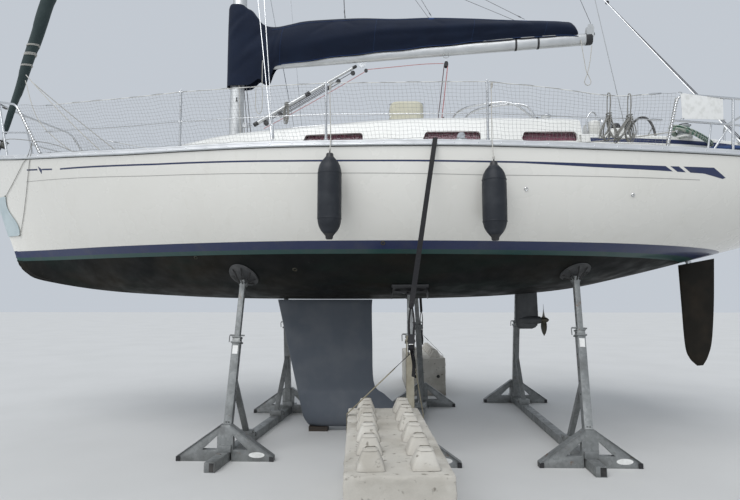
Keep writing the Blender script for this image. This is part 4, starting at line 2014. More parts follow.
# %% [markdown]
# The sail cover is one piece of acrylic cloth. It is wrapped round the mast, then lies over the sail that
# is flaked on the boom, and hangs to the boom's sides. It was cut by eye on the real boat, too.
# A cloth simulation would need the hidden sail under it. The shape is known here, so the cloth is a grid
# drawn from its top line, its hem and its width, with each long crease pressed in along its own line.

# %% Sail cover
COVER_TOP = [(-1.178, 5.14), (-1.15, 5.196), (-1.092, 5.208), (-1.004, 5.2), (-0.939, 5.145), (-0.875, 5.108),
    (-0.81, 5.022), (-0.752, 4.945), (-0.682, 4.908), (-0.569, 4.898), (-0.406, 4.928), (-0.244, 4.963),
    (-0.006, 4.981), (0.469, 4.996), (0.905, 4.982), (1.352, 4.99), (1.833, 4.972), (2.448, 4.938),
    (2.998, 4.912), (3.081, 4.89), (3.142, 4.8)]
COVER_HEM = [(-1.178, 4.118), (-0.893, 4.122), (-0.83, 4.165), (-0.775, 4.205), (-0.7, 4.165), (-0.65, 4.185),
    (-0.612, 4.29), (-0.573, 4.362), (-0.399, 4.395), (0.284, 4.482), (0.903, 4.545), (1.985, 4.652),
    (2.85, 4.712), (3.142, 4.704)]
COVER_HALF = [(-1.178, 0.002), (-1.168, 0.045), (-1.145, 0.074), (-1.1, 0.093), (-1.03, 0.1), (-0.93, 0.096),
    (-0.8, 0.088), (-0.7, 0.094), (-0.5, 0.112), (-0.2, 0.13), (0.3, 0.142), (0.9, 0.142), (1.8, 0.128),
    (2.6, 0.104), (3, 0.086), (3.11, 0.06), (3.142, 0.03)]
COVER_BEND = ((-1, 0, 4.6), (-0.74, 0, 4.6))
MAST_PROFILE = [(0, 0.9), (0.3, 0.98), (0.6, 1), (0.85, 0.84), (0.93, 0.72), (0.975, 0.58), (1, 0.02)]
BOOM_PROFILE = [(0, 0.4), (0.1, 0.52), (0.25, 0.8), (0.42, 1), (0.58, 0.97), (0.74, 0.76), (0.88, 0.45),
    (0.96, 0.22), (1, 0.02)]
# Creases: from x and z, to x and z, how deep and how wide. A negative depth stands out as a ridge
CREASES = [(-1.13, 4.86, -0.93, 5.07, 0.012, 0.028), (-1.14, 4.7, -0.98, 4.97, -0.01, 0.035),
    (-0.95, 4.6, -0.7, 4.85, 0.012, 0.03), (-1.05, 4.38, -0.72, 4.66, -0.01, 0.045),
    (-1.1, 4.26, -0.86, 4.5, 0.008, 0.03), (-0.62, 4.44, -0.52, 4.84, 0.009, 0.024),
    (-0.12, 4.75, 0.12, 4.91, 0.01, 0.028), (0.22, 4.97, 0.42, 4.84, 0.01, 0.024),
    (-0.42, 4.56, 0.9, 4.8, -0.01, 0.05), (0.7, 4.76, 2.9, 4.87, -0.012, 0.042),
    (0.55, 4.7, 2.7, 4.8, 0.01, 0.03), (1.25, 4.99, 1.5, 4.84, 0.009, 0.022),
    (2.15, 4.95, 2.3, 4.82, 0.008, 0.02), (2.48, 4.93, 2.62, 4.8, 0.008, 0.02),
    (0.95, 4.6, 1.35, 4.72, 0.007, 0.025), (1.7, 4.66, 2.15, 4.78, 0.007, 0.025),]


def crease_depth(x, z):
    total = 0
    for x0, z0, x1, z1, deep, wide in CREASES:
        run = pt(x1 - x0, z1 - z0)
        t = ((x - x0) * run.x + (z - z0) * run.y) / run.length_squared
        near = min(1, max(0, t))
        off = hypot(x - x0 - run.x * near, z - z0 - run.y * near)
        total += deep * exp(-(off / wide) ** 2) * (1 - 0.5 * abs(2 * near - 1) ** 3)
    return total


def cover_point(x, t, side, out=0):
    """A point of the cloth: t runs from the hem, 0, to the top line, 1."""
    hem = along(COVER_HEM, x) + 0.006 * sin(x * 11) * (x > -0.5)
    top, half = along(COVER_TOP, x), along(COVER_HALF, x)
    blend = min(1, max(0, (x + 0.95) / 0.42))
    blend = blend * blend * (3 - 2 * blend)
    over_boom = along(BOOM_PROFILE, t) * half
    if x > -0.6:
        over_boom = max(over_boom, 0.049 * (1 - t) ** 6)
    wide = (1 - blend) * along(MAST_PROFILE, t) * half + blend * over_boom
    z = hem + (top - hem) * t
    fade = min(1, half / 0.07) * min(1, (1 - t) * 9) * min(1, t * 6 + 0.25)
    soft = 0.007 * noise.noise(pt(x * 3.1, z * 4.3, side * 2.7)) + 0.003 * noise.noise(pt(x * 11, z * 9, side))
    wide = max(wide - (crease_depth(x, z) + soft) * fade + out, 0.001)
    return pt(x, side * wide, z)


def build_cover():
    xs = [-1.178, -1.174] + spread(-1.168, -0.4, 58) + spread(-0.38, 3.1, 120) + spread(3.11, 3.142, 5)
    ts = spread(0, 0.88, 22) + [0.91, 0.94, 0.965, 0.985, 1]
    rows = [[cover_point(x, t, -1) for t in ts] + [cover_point(x, t, 1) for t in reversed(ts[:-1])] for x in xs]
    cover = make("sail_cover", Form().patch(rows), [NAVY_CLOTH], body=None, open_skin=True)
    modify(cover, "SOLIDIFY", thickness=0.0015, offset=1)
    shade(cover, 60)
    bend_with_boom(cover, *COVER_BEND)
    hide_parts("mast_cover", "boom_cover")
    long = length_along([pt(x, 0, along(COVER_TOP, x)) for x in xs])


def build_cover_trim():
    """Seams, the zip under the top line, the hem's tape and the patches where the lazy jacks come out."""
    form = Form()
    ts = spread(0.02, 0.97, 24)
    for side in (-1, 1):
        for x in (-0.5, 0.66, 1.86, 2.74):
            path = [cover_point(x + 0.05 * (t - 0.5), t, side, 0.0022) for t in ts]
            form.tube(path, 0.0014, 5, flat=0.5)
        hem = [cover_point(x, 0.012, side, 0.002) for x in spread(-0.55, 3.12, 90)]
        form.tube(hem, 0.0035, 5)
        for x in (1.352, 2.49):
            rows = [[cover_point(px, t, side, 0.0024) for px in spread(x - 0.035, x + 0.035, 4)]
                for t in spread(0.87, 0.96, 4)]
            form.patch(rows)
    zip_line = [cover_point(x, 0.9, -1, 0.0024) for x in spread(-0.62, 2.95, 90)]
    form.tube(zip_line, 0.0022, 5)
    trim = make("sail_cover_trim", form, [CUSHION_BLUE], body=None, open_skin=True)
    bend_with_boom(trim, *COVER_BEND)
    battens = Form()
    for x0, x1 in ((1.985, 2.34), (2.44, 2.6), (2.7, 2.86)):
        path = [pt(x, -0.0515, along(COVER_HEM, x) + 0.002) for x in spread(x0, x1, 8)]
        battens.tube(path, 0.0045, 6, flat=0.6)
    make("cover_battens", battens, [WHITE_PLASTIC], "boom")


build_cover()
build_cover_trim()

# %% [markdown]
# Running rigging is thin rope under light load: straight between its blocks, with a little sag where slack.
# What crosses from mast or deck to the boom bends with it, so each of those pieces is shared by two bodies.


# %% Running rigging
def build_lazy_jacks():
    form = Form()
    for side in (-1, 1):
        ring_one, ring_two = pt(0.18, side * 0.2, 6.86), pt(0.89, side * 0.16, 5.726)
        form.tube([pt(mast_x(9.3), side * 0.06, 9.3), ring_one], 0.0026, 6)
        form.tube([ring_one, ring_two], 0.0026, 6)
        for ring, x, z in ((ring_one, 0.282, 4.975), (ring_two, 1.352, 4.98), (ring_two, 2.49, 4.925)):
            foot = pt(x, side * 0.052, z)
            form.tube([ring, foot], 0.0026, 6)
            form.turned([(0.002, -0.022), (0.006, -0.015), (0.006, 0.015), (0.002, 0.022)],
                foot + (ring - foot) * 0.04, ring - foot, 8)
        for ring in (ring_one, ring_two):
            form.sheave(0.01, 0.012, 0.004, ring, Y, 12, 1)
    jacks = make("lazy_jacks", form, [ROPE_DARK, STAINLESS], body=None)
    bend_with_boom(jacks, (mast_x(9.3), 0, 9.3), (0.9, 0, 5.1))


def build_topping_lift():
    form = Form()
    top, foot = pt(mast_x(15.9) + 0.132, 0, 15.89), pt(3.318, 0, boom_z(3.318) + 0.176)
    form.tube([top, top.lerp(foot, 0.5) + rise(-0.02), foot], 0.003, 6)
    lift = make("topping_lift", form, [ROPE_DARK], body=None)
    bend_with_boom(lift, tuple(top), tuple(foot))


def build_mainsheet():
    """Four parts of rope, three of them red, between a block on the boom and one on the traveller."""
    high, low = pt(1.53, 0, 4.385), pt(1.44, 0, 3.64)
    blocks = Form()
    for at in (high, low):
        for y in (-0.014, 0.014):
            blocks.sheave(0.026, 0.019, 0.008, at + pt(0, y, 0), Y, 18)
        for y in (-0.026, 0, 0.026):
            outline = [at + pt(0.024 * cos(a), y - 0.0015, 0.036 * sin(a)) for a in around(16)]
            blocks.extrude(outline, (0, 0.003, 0))
    blocks.tube([high + rise(0.03), high + pt(0.004, 0, 0.055)], 0.006, 8, 1)
    blocks.tube([low - rise(0.03), pt(1.44, 0, 3.56)], 0.006, 8, 1)
    pair = make("mainsheet_blocks", blocks, [BLACK_PLASTIC, STAINLESS], body=None)
    bend_with_boom(pair, (1.44, 0, 3.75), (1.52, 0, 4.3))
    ropes = Form()
    for k, (dx, y) in enumerate(((-0.022, -0.014), (0.022, -0.014), (-0.022, 0.014), (0.022, 0.014))):
        ropes.tube([at + pt(dx, y, 0) for at in (low, high)], 0.005, 8, 0 if k else 1)
    sheet = make("mainsheet", ropes, [ROPE_RED, ROPE_DARK], body=None)
    bend_with_boom(sheet, (1.44, 0, 3.7), (1.52, 0, 4.34))


def build_boom_lines():
    """The mainsheet's tail runs forward under the boom to a block by the vang, then down to the mast's foot."""
    form = Form()
    under = [pt(1.5, -0.01, 4.395), pt(1.25, -0.012, 4.388), pt(0.82, -0.014, 4.35), pt(0.56, -0.016, 4.326)]
    form.tube(smooth(under, 5), 0.0042, 7)
    form.sheave(0.022, 0.018, 0.01, (0.545, -0.016, 4.312), Y, 16, 1)
    make("sheet_along_boom", form, [ROPE_RED, BLACK_PLASTIC], "boom")
    down = Form()
    path = sag((0.535, -0.018, 4.3), (-0.7, -0.05, 3.58), 0.012, 15)
    down.tube(path, 0.0042, 7)
    fall = make("sheet_to_mast_foot", down, [ROPE_RED], body=None)
    bend_with_boom(fall, (-0.78, 0, 3.6), (-0.1, 0, 3.95))


def build_halyards():
    """Two halyards from the mast to blocks at its step, and the lines that run aft over the coachroof."""
    form = Form()
    for side in (-1, 1):
        for k, (x, out) in enumerate(STEP_BLOCKS[1:]):
            high = pt(mast_x(4.6) + 0.01 + 0.03 * k, side * (MAST_B + 0.008), 4.6)
            low = pt(x + 0.012, side * out * 0.92, roof_at(x, out) + 0.058)
            form.tube([high, low], 0.0045, 7, k)
        for k, ((x, out), lead, clutch) in enumerate(zip(STEP_BLOCKS, LEAD_Y, CLUTCH_Y)):
            x += 0.02
            path = [pt(x, side * out, roof_at(x, out) + 0.016),
                pt(LEAD_X, side * lead, roof_at(LEAD_X, lead) + 0.024)]
            for s in spread(0.12, 1, 8):
                x, out = LEAD_X + (2.22 - LEAD_X) * s, lead + (clutch - lead) * s
                path.append(pt(x, side * out, roof_at(x, out) + 0.014 + 0.006 * (s > 0.95)))
            form.tube(path, 0.0045, 7, (2, 0, 1)[k])
            tail = [path[-1] + pt(0.16, 0, 0), path[-1] + pt(0.24, side * -0.01, -0.004),
                pt(2.56, side * 0.505, roof_at(2.5, 0.5) + 0.05)]
            if k == 1:
                form.tube(smooth(tail, 5), 0.0045, 7)
    make("halyards_led_aft", form, [ROPE_WHITE, ROPE_DARK, ROPE_RED])


def build_headsail_sheets():
    """Both sheets come down from the rolled sail's corner to leads on the side decks, and the furling line
    runs aft along the port rail."""
    form = Form()
    track_y = 1.345
    track_z = deck_at(1.4, track_y)
    for side in (-1, 1):
        clew = pt(-3.69, side * 0.055, 4.29 - 0.04 * (side > 0))
        lead = pt(-2.256, side * 0.75, 3.06)
        form.tube(sag(clew, lead, 0.03), 0.0055, 8)
        path = [lead]
        for x in spread(-1.9, 1.3, 12):
            y = along([(-1.9, 0.8), (-0.6, 1.16), (1.3, 1.34)], x)
            path.append(pt(x, side * y, deck_at(x, y) + 0.016 + 0.01 * (x < -1.6)))
        car = pt(1.4, side * track_y, track_z + 0.055)
        path += [car, pt(2.6, side * 1.3, deck_at(2.6, 1.3) + 0.1), pt(3.66, side * 1.125, 3.165)]
        form.tube(smooth(path, 3), 0.0055, 8)
        form.block(1.4, car.y, 0.35, 0.014, track_z - 0.002, track_z + 0.01, 1)
        form.sheave(0.024, 0.018, 0.012, car, (0.2, 1, 0.2), 18, 2)
        form.block(1.4, car.y, 0.04, 0.018, track_z + 0.008, track_z + 0.026, 2)
    second = [(-3.711, -0.03, 4.228), (-3.31, -0.3, 3.59), (-2.596, -0.6, 3.08), (-2.2, -0.7, 3.035)]
    form.tube(smooth(second, 6), 0.005, 8)
    furling = [(stay_x(3.42) + 0.05, -0.05, 3.425), (-3.592, -0.4, 3.368), (-3.186, -0.52, 3.3),
        (-2.9, -0.62, 3.225), (-2.6, -0.8, 3.1)]
    form.tube(smooth(furling, 5), 0.004, 7, 3)
    aft = [(-2.6, -0.8, 3.1)] + [(x, -(half_beam(x) - 0.1), deck_at(x, half_beam(x) - 0.1) + 0.055)
        for x in spread(-2.2, 3.3, 10)]
    form.tube(smooth(aft, 3), 0.004, 7, 3)
    make("headsail_sheets", form, [ROPE_WHITE, RAIL_ALLOY, BLACK_PLASTIC, ROPE_GREY])


build_lazy_jacks()
build_topping_lift()
build_mainsheet()
build_boom_lines()
build_halyards()
build_headsail_sheets()
print("running rigging rove")

# %% [markdown]
# The rails are bent stainless tube on welded feet, with two wires between posts. Each tube is one path
# with round bends, as it came off the bender. The nets are tied from toe rail to wire on both sides.


# %% Guardrails
RAIL_HEIGHT, RAIL_INSET, RAIL_LEAN = 0.56, 0.055, 0.015
POST_EXTRA = 0.036
STANCHIONS = (-1.241, 0.226, 1.714)
PULPIT_AFT, PUSHPIT_FORE = -3.04, 3.38
WIRE_ENDS = [PULPIT_AFT + 0.03, *STANCHIONS, PUSHPIT_FORE - 0.03]


def rail_at(x, height, side, dx=0, lean=RAIL_LEAN):
    y = half_beam(x) - RAIL_INSET
    return pt(x + dx, side * (y + lean * height / RAIL_HEIGHT), deck_at(x, y) + height)


LOWER_WIRE, UPPER_WIRE = 0.292, 0.554 + POST_EXTRA
# How far the port upper wire is pulled down by the coils on it
PULLED = [(1.714, 0), (2.3, 0.035), (2.838, 0.09), (3.035, 0.084), (3.35, 0.046)]


def wire_at(x, height, side):
    """A place on a lifeline: it hangs a little between posts."""
    a, b = next(((p, q) for p, q in zip(WIRE_ENDS, WIRE_ENDS[1:]) if x <= q), WIRE_ENDS[-2:])
    t = (x - a) / (b - a)
    point = rail_at(x, height, side) - rise(0.03 * t * (1 - t))
    if side < 0 and height > 0.5 and x > PULLED[0][0]:
        point.z -= straight(PULLED, min(x, PULLED[-1][0]))
    return point


def rail_foot(form, x, side):
    """A foot plate with its socket and four bolts."""
    at = rail_at(x, 0, side)
    form.turned([(0.034, -0.004), (0.034, 0.003), (0.031, 0.006), (0.02, 0.007), (0.0175, 0.06),
        (0.014, 0.062)], at, (0, side * 0.02, 1), 20)
    for k in range(4):
        a = pi / 4 + k * pi / 2
        form.turned([(0.004, 0), (0.004, 0.003), (0.002, 0.004)],
            at + pt(0.026 * cos(a), 0.026 * sin(a), 0.004), Z, 6)


def build_guardrail(side, name):
    form = Form()
    for x in STANCHIONS:
        rail_foot(form, x, side)
        top = 0.566 + POST_EXTRA
        form.tube([rail_at(x, 0.006, side), rail_at(x, 0.5, side), rail_at(x, top, side)],
            [0.0125, 0.0125, 0.0115], 14)
        form.turned([(0.0118, 0), (0.011, 0.004), (0.006, 0.007), (0.001, 0.008)], rail_at(x, top, side), Z, 14)
        for height in (LOWER_WIRE, UPPER_WIRE):
            form.pin(0.0095, 0.016, rail_at(x, height, side), X, 10)
    for height in (LOWER_WIRE, UPPER_WIRE):
        for a, b in zip(WIRE_ENDS, WIRE_ENDS[1:]):
            form.tube([wire_at(x, height, side) for x in spread(a, b, 17)], 0.0042, 7, 1 if height > 0.5 else 0)
        for x, way in ((WIRE_ENDS[0], 1), (WIRE_ENDS[-1], -1)):
            end = wire_at(x, height, side)
            form.turned([(0.006, 0), (0.008, 0.01), (0.008, 0.06), (0.01, 0.065), (0.01, 0.1), (0.006, 0.13)],
                end, wire_at(x + way * 0.13, height, side) - end, 10)
    make(f"guardrail_dressed_{name}", form, [STAINLESS, WHITE_PLASTIC], replaces=f"guardrail_{name}")


# %% Pulpit and pushpits
def lacing(form, a, b, radius, turns):
    """Cord wound round a tube from one place to another."""
    way = (b - a).normalized()
    u = way.orthogonal().normalized()
    v = way.cross(u)
    steps = int(turns * 12)
    path = [a.lerp(b, k / steps) + (u * cos(k * pi / 6) + v * sin(k * pi / 6)) * radius
        for k in range(steps + 1)]
    form.tube(path, 0.003, 5)


def tube_socket(form, at, high):
    form.turned([(0.034, -0.004), (0.034, 0.003), (0.02, 0.007), (0.0165, high), (0.013, high + 0.002)], at, Z,
        20)


def build_pulpit():
    form, cords = Form(), Form()
    half = {}
    for side in (-1, 1):
        foot = rail_at(PULPIT_AFT, 0, side)
        shoulder = pt(PULPIT_AFT - 0.4, foot.y * 0.86, foot.z + 0.645)
        half[side] = [foot - rise(0.006), shoulder, pt(-3.96, side * 0.21, 3.9)]
        fore = rail_at(-3.7, 0, side)
        form.tube([fore - rise(0.006), (-3.89, side * 0.218, 3.888)], 0.0125, 14)
        form.tube([(PULPIT_AFT - 0.18, foot.y * 0.93, foot.z + 0.3), (-3.8, side * 0.24, 3.5)], 0.01, 12)
        for at in (foot, fore):
            tube_socket(form, at, 0.04)
        lacing(cords, half[side][0].lerp(shoulder, 0.1), half[side][0].lerp(shoulder, 0.92), 0.0155, 17)
        cords.sheave(0.02, 0.026, 0.022, half[side][0].lerp(shoulder, 0.06), (0.2, 0, 1), 12, 1)
    form.tube(bent(half[-1] + half[1][::-1], 0.09, 8), 0.0125, 14)
    form.slab(-3.985, -3.955, 0.03, 3.88, 3.913, 1)
    make("pulpit_dressed", form, [STAINLESS, BLACK_PLASTIC], replaces="pulpit")
    make("pulpit_lacing", cords, [ROPE_WHITE, BLACK_PLASTIC])


def build_pushpit(side, name):
    form = Form()
    inner = pt(4.63, side * 0.33, deck_at(4.63, 0.33) - 0.006)

    def on_rail(x, height, dx=0):
        return rail_at(x, height, side, dx, 0)

    top = [on_rail(PUSHPIT_FORE, -0.006), on_rail(PUSHPIT_FORE, 0.54, 0.13), on_rail(4.1, 0.55),
        on_rail(4.47, 0.55), inner + rise(0.58), inner]
    form.tube(bent(top, 0.1, 8), 0.0125, 14)
    middle = [on_rail(PUSHPIT_FORE, 0.29, 0.07), on_rail(4.1, 0.29), on_rail(4.47, 0.29), inner + rise(0.3)]
    form.tube(bent(middle, 0.08), 0.01, 12)
    form.tube([on_rail(4.06, -0.006), on_rail(4.1, 0.55)], 0.0125, 14)
    form.tube([(3.792, side * 1.395, deck_at(3.79, 1.39) - 0.004),
        (3.851, side * 1.385, deck_at(3.85, 1.38) + 0.285)], 0.009)
    form.tube([(3.848, side * 1.385, deck_at(3.85, 1.38) + 0.02),
        (4.014, side * 1.355, deck_at(4.01, 1.35) + 0.24)], 0.009)
    for at in (rail_at(PUSHPIT_FORE, 0, side), rail_at(4.06, 0, side), inner + rise(0.006),
            pt(3.792, side * 1.395, deck_at(3.79, 1.39))):
        tube_socket(form, at, 0.036)
    make(f"pushpit_dressed_{name}", form, [STAINLESS], replaces=f"pushpit_{name}")
    cords = Form()
    lacing(cords, top[0].lerp(top[1], 0.06), top[0].lerp(top[1], 0.94), 0.0155, 19)
    make(f"pushpit_lacing_{name}", cords, [ROPE_WHITE])


def build_board():
    """A blank white board hung in the port pushpit by its corners."""
    rows = []
    for s in spread(0, 1, 9):
        x = 3.53 + 0.435 * s
        y = -(half_beam(x) - RAIL_INSET + 0.03 + 0.004 * sin(pi * s))
        high, low = 3.424 - 0.036 * s, 3.176 + 0.012 * s
        rows.append([pt(x + 0.012 * (1 - t) * (0.5 - s), y - 0.003 * sin(pi * t), low + (high - low) * t)
            for t in spread(0, 1, 6)])
    board = make("blank_board", Form().patch(rows), [STICKER], open_skin=True)
    modify(board, "SOLIDIFY", thickness=0.0025, offset=0)
    shade(board, 40)
    ties = Form()
    for corner, rail_height in ((rows[0][-1], 0.54), (rows[-1][-1], 0.548), (rows[0][0], 0.29),
            (rows[-1][0], 0.29)):
        inward = pt(0, 0.022, 0.006 if rail_height > 0.4 else -0.004)
        ties.turned([(0.008, -0.002), (0.008, 0.002), (0.004, 0.0025)], corner + pt(0.01, -0.001, 0), Y, 12, 1)
        ties.tube(smooth([corner + pt(0.01, -0.004, 0), corner + inward * 0.5 + pt(0.004, 0, 0.01),
            corner + inward + pt(-0.004, 0.004, 0.008)], 4), 0.0022, 6)
    make("board_ties", ties, [ROPE_GREY, STAINLESS])


for side, name in SIDES:
    build_guardrail(side, name)
    build_pushpit(side, name)
build_pulpit()
build_board()
print("rails bent")

# %% [markdown]
# Fine square netting keeps children and sails aboard. It could be an image on a plane, but images aren't
# used here, so it is a real grid of thin cords, three-sided to stay light, and it bellies a little.

# %% Netting
MESH = 0.036


def net_point(s, t, side):
    """A place on the net: s along the boat from 0 to 1, t up from the toe rail to the upper wire."""
    x_low, x_high = PULPIT_AFT + s * (PUSHPIT_FORE - PULPIT_AFT), -3.4 + s * (3.49 + 3.4)
    low = pt(x_low, side * (half_beam(x_low) + 0.006), sheer(x_low) + 0.04)
    x = min(max(x_high, PULPIT_AFT), PUSHPIT_FORE)
    high = wire_at(x, UPPER_WIRE, side)
    if x_high < PULPIT_AFT:
        k = (PULPIT_AFT - x_high) / 0.4
        foot = rail_at(PULPIT_AFT, 0, side)
        high = high.lerp(pt(PULPIT_AFT - 0.4, foot.y * 0.86, foot.z + 0.64), k)
    high.x = x_high
    belly = 0.012 * sin(pi * t) * sin(s * 43) + 0.006 * sin(s * 170 + t * 5)
    point = low.lerp(high, t)
    return point + pt(0.006 * sin(t * 9 + s * 60), side * (belly + 0.004), 0.004 * sin(s * 120))


def build_net(side, name):
    form = Form()
    count = int(6.4 / MESH)
    rows = int(0.54 / MESH)
    for k in range(count + 1):
        form.tube([net_point(k / count, t, side) for t in spread(0, 1, 5)], 0.001, 3)
    for k in range(rows + 1):
        t = k / rows
        edge = 0.0018 if k in (0, rows) else 0.001
        form.tube([net_point(s, t, side) for s in spread(0, 1, 110)], edge, 3)
    make(f"safety_net_{name}", form, [NET_CORD], crease=180)


for side, name in SIDES:
    build_net(side, name)
print("nets tied")

# %% [markdown]
# Steering: a moulded pedestal in a guard hoop, and a wheel with a stitched leather rim. The sprayhood is
# off for the winter, and only its two folded hoops are left over the hatch.


# %% Pedestal, wheel and sprayhood hoops
def build_pedestal():
    form = Form()
    table = [(2.452, 0.15, 0.092), (2.47, 0.148, 0.09), (2.62, 0.126, 0.076), (2.9, 0.118, 0.074),
        (3.15, 0.112, 0.078), (3.3, 0.116, 0.086), (3.42, 0.12, 0.094), (3.5, 0.116, 0.092), (3.545, 0.1, 0.08),
        (3.562, 0.07, 0.058), (3.566, 0.01, 0.008)]
    rings = []
    for z in spread(2.452, 3.566, 44):
        a, b = along(table, z), along(table, z, 2)
        rings.append([pt(3.56 + a * pressed(cos(t), 0.75), b * pressed(sin(t), 0.75), z) for t in around(36)])
    form.rings(rings)
    form.tube(bent([(3.34, -0.15, 2.455), (3.34, -0.15, 3.64), (3.34, 0.15, 3.64), (3.34, 0.15, 2.455)], 0.07,
        10), 0.013, 16, 1)
    for side in (-1, 1):
        form.turned([(0.034, 0.002), (0.034, 0.008), (0.018, 0.01)], (3.34, side * 0.15, 2.45), Z, 20, 1)
    form.slab(3.334, 3.52, 0.155, 3.384, 3.409)
    form.turned([(0.034, 0), (0.032, 0.02), (0.026, 0.09), (0.03, 0.17)], (3.655, 0, 3.255), X)
    form.turned([(0.052, 0), (0.054, 0.012), (0.05, 0.034), (0.036, 0.056), (0.012, 0.066), (0.001, 0.067)],
        (3.56, 0, 3.56), Z, 28, 2)
    for y in (-0.075, 0.075):
        form.turned([(0.046, 0), (0.046, 0.016), (0.04, 0.019), (0.04, 0.015), (0.001, 0.015)],
            (3.345, y, 3.475), (-0.9, 0, 0.45), 26, 2)
    pod = []
    for z, half_x, half_y in ((3.44, 0.05, 0.1), (3.452, 0.072, 0.13), (3.56, 0.078, 0.14),
            (3.612, 0.07, 0.132), (3.628, 0.046, 0.11)):
        pod.append([pt(3.268 + half_x * pressed(cos(t), 0.6), half_y * pressed(sin(t), 0.45), z)
            for t in around(32)])
    form.rings(pod)
    form.tube(bent([(3.19, -0.1, 3.5), (3.175, -0.1, 3.65), (3.235, -0.1, 3.742), (3.3, -0.1, 3.7),
        (3.286, -0.1, 3.6)], 0.035), 0.0095, 12, 1)
    form.bar((3.6, 0.105, 3.2), (3.64, 0.118, 3.36), 0.014, 0.01, X, 1)
    form.turned([(0.01, -0.012), (0.014, 0), (0.01, 0.014)], (3.642, 0.118, 3.37), Z, 14, 2)
    make("pedestal_dressed", form, [WHITE_PLASTIC, STAINLESS, BLACK_PLASTIC], replaces="pedestal")


def build_wheel():
    hub, radius = pt(3.82, 0, 3.2553), 0.416
    form = Form().tube(circle(hub, Y, Z, radius, 72), 0.0135, 14, loop=True)
    for k in range(6):
        a = pi * k / 3
        way = pt(0, sin(a), cos(a))
        form.tube([hub + way * 0.03, hub + way * (radius - 0.008)], [0.0085, 0.007], 12, 1)
    form.turned([(0.052, -0.018), (0.052, 0.006), (0.044, 0.014), (0.02, 0.018), (0.018, 0.024),
        (0.001, 0.0245)], hub, X, 30, 1)
    stitch = []
    for k in range(240):
        a = 2 * pi * k / 240
        way = pt(0, sin(a), cos(a))
        stitch.append(hub + way * (radius - 0.0128) + pt(0.0022 * (-1) ** k, 0, 0))
    form.tube(stitch, 0.0008, 4, 2, loop=True)
    form.sheave(0.016, 0.0165, 0.01, hub + rise(radius), Y, 16, 2)
    make("steering_wheel_dressed", form, [LEATHER, STAINLESS, ROPE_GREY], "steering_wheel", "steering_wheel")


def hoop_path(reach, height):
    half = [pt(2.36, 0.9, roof_at(2.36, 0.9) + 0.004), pt(reach + 0.5, 0.885, height - 0.055),
        pt(reach + 0.23, 0.8, height - 0.02), pt(reach, 0.56, height)]
    port = [pt(p.x, -p.y, p.z) for p in half]
    return port + [pt(reach - 0.05, 0, height + 0.03)] + half[::-1]


def build_sprayhood():
    form = Form()
    for reach, height in ((1.62, 3.605), (1.75, 3.585)):
        form.tube(smooth(hoop_path(reach, height)), 0.012, 14)
    for side in (-1, 1):
        form.box((2.324, side * 0.9 - 0.012, roof_at(2.36, 0.9) - 0.004), (2.396, side * 0.9 + 0.012, 3.398))
        form.turned([(0.01, -0.02), (0.012, -0.016), (0.012, 0.016), (0.01, 0.02)], (2.36, side * 0.9, 3.385),
            Y, 14, 1)
        form.pin(0.018, 0.03, (1.9, side * 0.74, 3.585), (0.9, -side * 0.45, 0.05), 14, 1)
        form.box((1.64, side * 0.86 - 0.03, roof_at(1.7, 0.86) - 0.01),
            (1.745, side * 0.86 + 0.03, roof_at(1.7, 0.86) + 0.028), 1)
    make("sprayhood_hoops", form, [STAINLESS, BLACK_PLASTIC], replaces="sprayhood_frame")


build_pedestal()
build_wheel()
build_sprayhood()
print("wheel and hoops made")

# %% [markdown]
# Soft things on deck: a beige canvas cover strapped over a box, which bulges between its seams, and a navy
# cushion left on the side deck. Both are closed rounded forms, fuller in the middle than at their edges.


# %% Canvas cover and cushion
def pillow(centre, size):
    """A stuffed form: round in section, square in plan, its seam pinched in at the middle height."""
    rings = []
    for v in spread(-pi / 2, pi / 2, 22):
        ring = []
        for u in around(40):
            cu, su, cv, sv = cos(u), sin(u), cos(v), sin(v)
            x = pressed(cu, 0.45) * abs(cv) ** 0.55
            y = pressed(su, 0.45) * abs(cv) ** 0.55
            z = pressed(sv, 0.8)
            grow = 1 - 0.036 * (1 - abs(sv)) ** 8
            x, y, z = x * size[0] / 2 * grow, y * size[1] / 2 * grow, z * size[2] / 2
            wrinkle = 0.004 * noise.noise(pt(x * 16 + centre[0] * 7, y * 16, z * 16))
            ring.append(turned_about(centre, x, y, z + wrinkle))
        rings.append(ring)
    return rings


CUSHION_TURN = -0.14


def turned_about(centre, x, y, z):
    c, s = cos(CUSHION_TURN), sin(CUSHION_TURN)
    return pt(centre[0] + x * c - y * s, centre[1] + x * s + y * c, centre[2] + z)


BOX_X = 1.034


